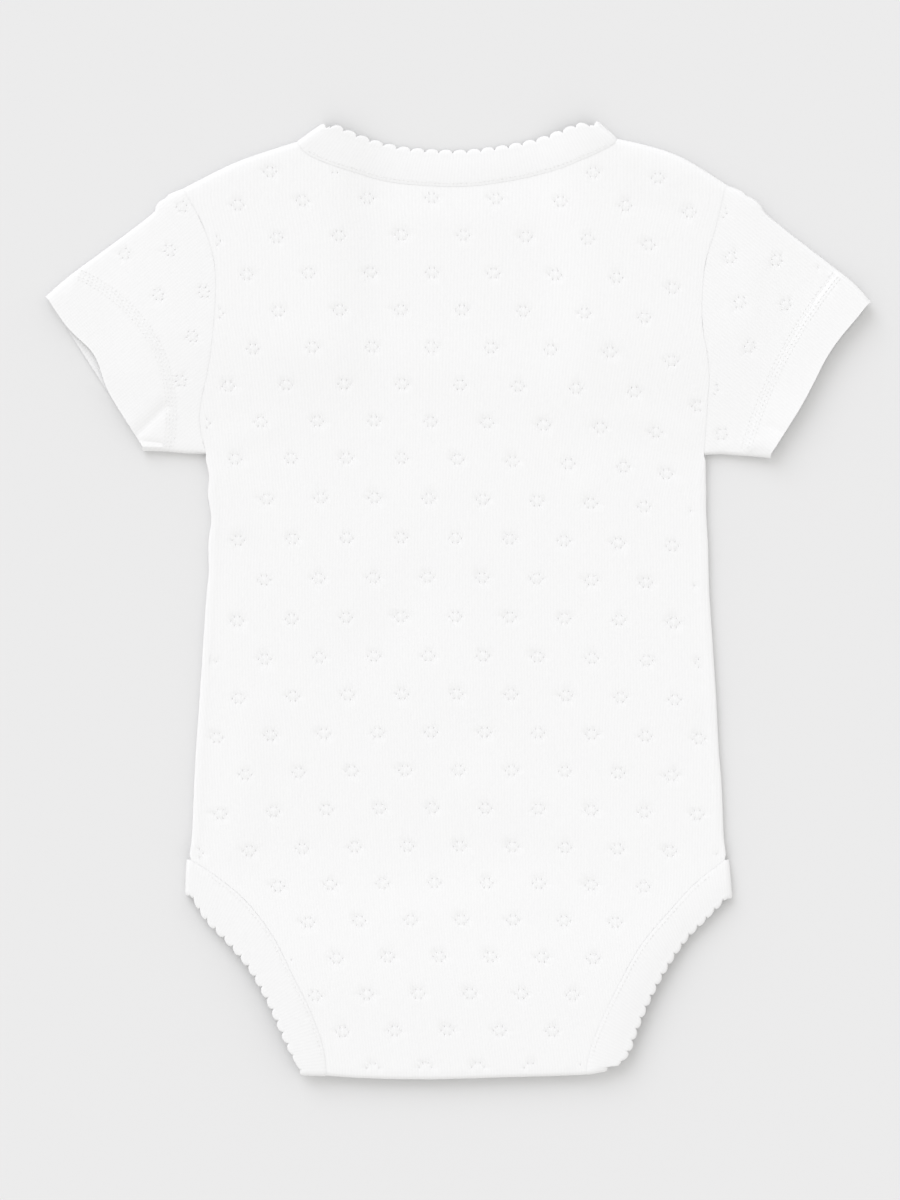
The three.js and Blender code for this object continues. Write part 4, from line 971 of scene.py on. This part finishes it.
class Binding:
    """A strip given by stations, each with its seam, its edge and the way its outer face looks."""

    def __init__(self, picot):
        self.pitch, self.depth = picot
        self.stations = []
        self.gone = 0.0

    def add(self, inner, outer, up, picot=0.0):
        if self.stations:
            last = self.stations[-1]
            if np.allclose(inner, last[0], atol=0.01) and np.allclose(outer, last[1], atol=0.01):
                return
            before = (last[0] + last[1]) / 2
            self.gone += np.linalg.norm((inner + outer) / 2 - before)
        self.stations.append((inner, outer, np.array(up, float), self.gone, picot))

    def run(self, seam, edge, height, up, steps=10, droop=None, plain=0.0):
        length = np.linalg.norm(np.diff(edge, axis=0), axis=1).sum()
        picots = max(int(round(length / self.pitch)), 1)
        for i in range(picots * steps + 1):
            t = i / (picots * steps)
            a, b = along(seam, t), along(edge, t)
            across = (b - a) / np.linalg.norm(b - a)
            phase = ((i + steps / 2) % steps) / steps
            bump = (math.sqrt(math.sin(math.pi * phase)) - 0.5) * float(ramp(t, 0, plain) if plain else 1)
            inner = a + across * GAP
            drop = droop(t) if droop else 0.0
            self.add(np.array([*inner, float(height(*inner))]),
                     np.array([*b, float(height(*b)) - drop]), (0, 0, up), self.depth * bump)

    def turn(self, direction, to_z, steps=8):
        start_inner, start_outer, up, _, picot = self.stations[-1]
        sign = math.copysign(1, up[2])
        for i in range(1, steps + 1):
            angle = math.pi * i / steps
            ends = []
            for p in (start_inner, start_outer):
                out = abs(to_z - p[2]) / 2 * math.sin(angle)
                ends.append(np.array([p[0] + direction[0] * out, p[1] + direction[1] * out,
                                      (p[2] + to_z) / 2 + (p[2] - to_z) / 2 * math.cos(angle)]))
            self.add(*ends, (direction[0] * math.sin(angle), direction[1] * math.sin(angle),
                             sign * math.cos(angle)), picot)

    def solid(self, name):
        points, knit = [], []
        for inner, outer, up, gone, picot in self.stations:
            width = np.linalg.norm(outer - inner)
            across = (outer - inner) / width
            outer = outer + across * picot
            places = [(u * width if u is not None else width - d + picot * max(0.0, 1 - d / PICOT_ROOT), h)
                      for u, d, h in BINDING_ACROSS]
            rise = BINDING_ARCH * max(up[2], 0.0)
            arch = [up * rise * math.sin(math.pi * w / width) for w, _ in places]
            ring = [inner + across * w + up * h + a for (w, h), a in zip(places, arch)] + [outer]
            ring += [inner + across * w - up * h + a for (w, h), a in zip(places[::-1], arch[::-1])]
            points += ring
            middle = [w / COURSE for w, _ in places]
            knit += [(gone / BINDING_WALE, w) for w in middle + [width / COURSE] + middle[::-1]]
        size = 2 * len(BINDING_ACROSS) + 1
        faces = []
        for i in range(len(self.stations) - 1):
            for k in range(size):
                a, b = i * size + k, i * size + (k + 1) % size
                faces.append((a, b, b + size, a + size))
        last = (len(self.stations) - 1) * size
        faces += [tuple(range(size))[::-1], tuple(last + k for k in range(size))]
        points = np.array(points)
        volume = sum(np.dot(points[f[0]], np.cross(points[f[i]], points[f[i + 1]]))
                     for f in faces for i in range(1, len(f) - 1))
        if volume < 0:
            faces = [f[::-1] for f in faces]
        return mesh_object(name, points, faces, knit)


def binding_top(x, y):
    return back_height(x, y) + (BINDING - WALL) / 2


def binding_below(x, y):
    return front_height(x, y) + (BINDING - WALL) / 2


def lap_height(x, y):
    return BINDING / 2


# The binding's stitches lie on it, just outside its seam
COVER_AT = 1.3


def binding_face(x, y):
    return binding_top(x, y) + BINDING / 2


# Binding rib colours: the ridge, then the grooves' painted shade, slightly greyer.
COTTON_BINDING = rib_material("cotton picot binding rib", "#ebebeb", "#e9e9e9", 0.014)

neck_edge = smooth_line([shoulder_axis(NECK_EDGE[0], "left")] + NECK_EDGE[1:-1]
                        + [shoulder_axis(NECK_EDGE[-1], "right")])
neck_back = Binding(NECK_PICOT)
left_seam, left_edge_line = lap_lines("left")
neck_back.run(left_seam, left_edge_line, lap_height, -1)
neck_back.turn(fold_direction("left"), float(binding_top(*neck_seam()[0])))
neck_back.run(neck_seam(), neck_edge, binding_top, 1, droop=lambda t: 0.7 * math.sin(math.pi * t))
neck_back.turn(fold_direction("right"), BINDING / 2)
right_seam, right_edge_line = lap_lines("right")
neck_back.run(right_seam[::-1], right_edge_line[::-1], lap_height, -1)
neck_binding_back = neck_back.solid("neck_binding_back_rib")
neck_binding_back.data.materials.append(COTTON_BINDING)
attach(neck_binding_back, "root")
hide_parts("neck_binding_back")
stitches = sewing("neck_back_coverstitch",
                  stitch_row(offset(neck_seam(), COVER_AT)[2:-2], binding_face),
                  "neck_binding_back")


# Neck binding of the front: the same picot strip, sewn round the lower front neck; its two ends
# lie under the laps.
front_edge = front_neck_line(FRONT_NECK["out_half_width"], FRONT_NECK["out_drop"])
neck_front = Binding(NECK_PICOT)
neck_front.run(front_neck, front_edge, binding_below, 1)
neck_binding_front = neck_front.solid("neck_binding_front_rib")
neck_binding_front.data.materials.append(COTTON_BINDING)
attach(neck_binding_front, "root")
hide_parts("neck_binding_front")


# Leg bindings: the same picot strip round each leg opening, along the crotch flap, over the
# crotch fold, up the back, round the side seam and down the front.
LEG_BACK_EDGE = {
    "left": [(-101.6, -111.4), (-95.6, -121.2), (-86.8, -130.4), (-78.6, -140.6), (-71.9, -152.6),
             (-67.0, -163.6), (-62.6, -173.2), (-59.2, -180.6)],
    "right": [(102.1, -112.6), (94.0, -121.0), (86.6, -128.5), (78.4, -140.5), (72.0, -152.8),
              (67.2, -164.4), (63.9, -172.8), (56.0, -180.6)],
}


def leg_droop(t):
    """How far the edge hangs below the seam, along the back of the leg."""
    return 0.6 * float(ramp(t, 0, 0.4) * (1 - ramp(t, 0.7, 1)))


for side in SIDES:
    seam_up = back_leg(side)[::-1]
    edge_up = smooth_line(LEG_BACK_EDGE[side])[::-1]
    edge_up = edge_up[edge_up[:, 1] >= crotch_axis(edge_up[:, 0])]
    edge_up = np.vstack([[LEG_BACK_EDGE[side][-1][0], crotch_axis(LEG_BACK_EDGE[side][-1][0])], edge_up])
    seam_down = front_leg(side)
    edge_down = smooth_line([(SIGN[side] * x, y) for x, y in LEG_FRONT_EDGE])
    seam_down[0], edge_down[0] = seam_up[-1], edge_up[-1]
    flap_end = np.array([0.0, FLAP_LENGTH])
    leg = Binding(LEG_PICOT)
    leg.run(np.array([seam_up[0] + flap_end, seam_up[0]]), np.array([edge_up[0] + flap_end, edge_up[0]]),
            lambda x, y: FLAP_MIDDLE, -1)
    leg.turn((0, -1), BACK_MIDDLE + CROTCH_RISE + (BINDING - WALL) / 2)
    leg.run(seam_up, edge_up, binding_top, 1, droop=leg_droop, plain=0.16)
    leg.turn((SIGN[side], 0), BINDING / 2)
    leg.run(seam_down, edge_down, binding_below, -1)
    leg_binding = leg.solid(f"leg_binding_{side}_rib")
    leg_binding.data.materials.append(COTTON_BINDING)
    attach(leg_binding, "root")
    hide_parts(f"leg_binding_{side}")
    rows = stitch_row(offset(back_leg(side), SIGN[side] * COVER_AT)[4:-3], binding_face)
    stitches = sewing(f"leg_coverstitch_{side}", rows, f"leg_binding_{side}")


# Snaps: three closed ring snaps in white moulded acetal, pressed through the front and the
# crotch flap. The cap shows on the front, the socket sits between the layers, the ring inside.
SNAP_SECTION = [
    (0.0, 0.11), (2.8, 0.11), (3.3, 0.03), (4.3, 0.03), (4.66, 0.18), (4.76, 0.4), (4.62, 0.66), (4.2, 0.76),
    (2.0, 0.78), (1.95, 2.3), (3.7, 2.32), (3.9, 2.44), (3.9, 2.64), (3.7, 2.76), (2.0, 2.78),
    (1.95, 4.02), (4.0, 4.04), (4.2, 4.16), (4.2, 4.4), (4.0, 4.54), (3.2, 4.54), (2.8, 4.3),
    (1.2, 4.3), (0.8, 4.46), (0.0, 4.5),
]
SNAP_STEPS = 48
acetal = plain_material("white moulded acetal", "#f0f0ee", Roughness=0.4)
for number, (x, y, _) in enumerate(SNAP_HOLES, 1):
    points, faces = [], []
    for r, z in SNAP_SECTION:
        for k in range(SNAP_STEPS if r else 1):
            turn = 2 * math.pi * k / SNAP_STEPS
            points.append(np.array([x + r * math.cos(turn), y + r * math.sin(turn), z]))
    last = len(points) - 1
    for k in range(SNAP_STEPS):
        after = (k + 1) % SNAP_STEPS
        faces.append((0, 1 + after, 1 + k))
        for ring in range(len(SNAP_SECTION) - 3):
            a = 1 + ring * SNAP_STEPS
            faces.append((a + k, a + after, a + SNAP_STEPS + after, a + SNAP_STEPS + k))
        faces.append((last, last - SNAP_STEPS + k, last - SNAP_STEPS + after))
    snap = mesh_object(f"snap_{number}_acetal", points, faces, [(0.0, 0.0)] * len(points))
    snap.data.materials.append(acetal)
    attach(snap, "root")
    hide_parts(f"snap_{number}")


# Floor, light and camera: a pale seamless table under a wide soft light from the upper left,
# with the camera straight above.
FLOOR_SIZE = 3.0
# The height of the table that the photo shows, in metres, with the camera that sees it
PHOTO_HEIGHT = 0.456
CAMERA_HEIGHT = 2.2
CAMERA_X = -0.00304
floor_mesh = bpy.data.meshes.new("floor")
half = FLOOR_SIZE / 2
floor_mesh.from_pydata([(-half, -half, 0), (half, -half, 0), (half, half, 0), (-half, half, 0)], [],
                       [(0, 1, 2, 3)])
floor = place("floor", floor_mesh)
floor_mesh.materials.append(plain_material("matt paper backdrop", "#dfdfdf", Roughness=0.95,
                                           Specular_IOR_Level=0.1))

world = bpy.data.worlds.new("studio")
world.use_nodes = True
world.node_tree.nodes["Background"].inputs["Color"].default_value = (1.0, 0.995, 0.984, 1)
world.node_tree.nodes["Background"].inputs["Strength"].default_value = 0.942
bpy.context.scene.world = world
bpy.context.scene.view_settings.view_transform = "Standard"

lamp = bpy.data.lights.new("window light", "SUN")
lamp.energy = 1.0
lamp.angle = math.radians(45)
lamp.color = (0.99, 1.0, 1.06)
lamp_object = place("window light", lamp)
lamp_object.rotation_euler = (0.0, math.radians(-52), math.radians(-60))

camera = bpy.data.cameras.new("camera")
camera.sensor_fit = "VERTICAL"
camera.angle = 2 * math.atan(PHOTO_HEIGHT / 2 / CAMERA_HEIGHT)
camera_object = place("camera", camera)
camera_object.location = (CAMERA_X, 0, CAMERA_HEIGHT)
bpy.context.scene.camera = camera_object
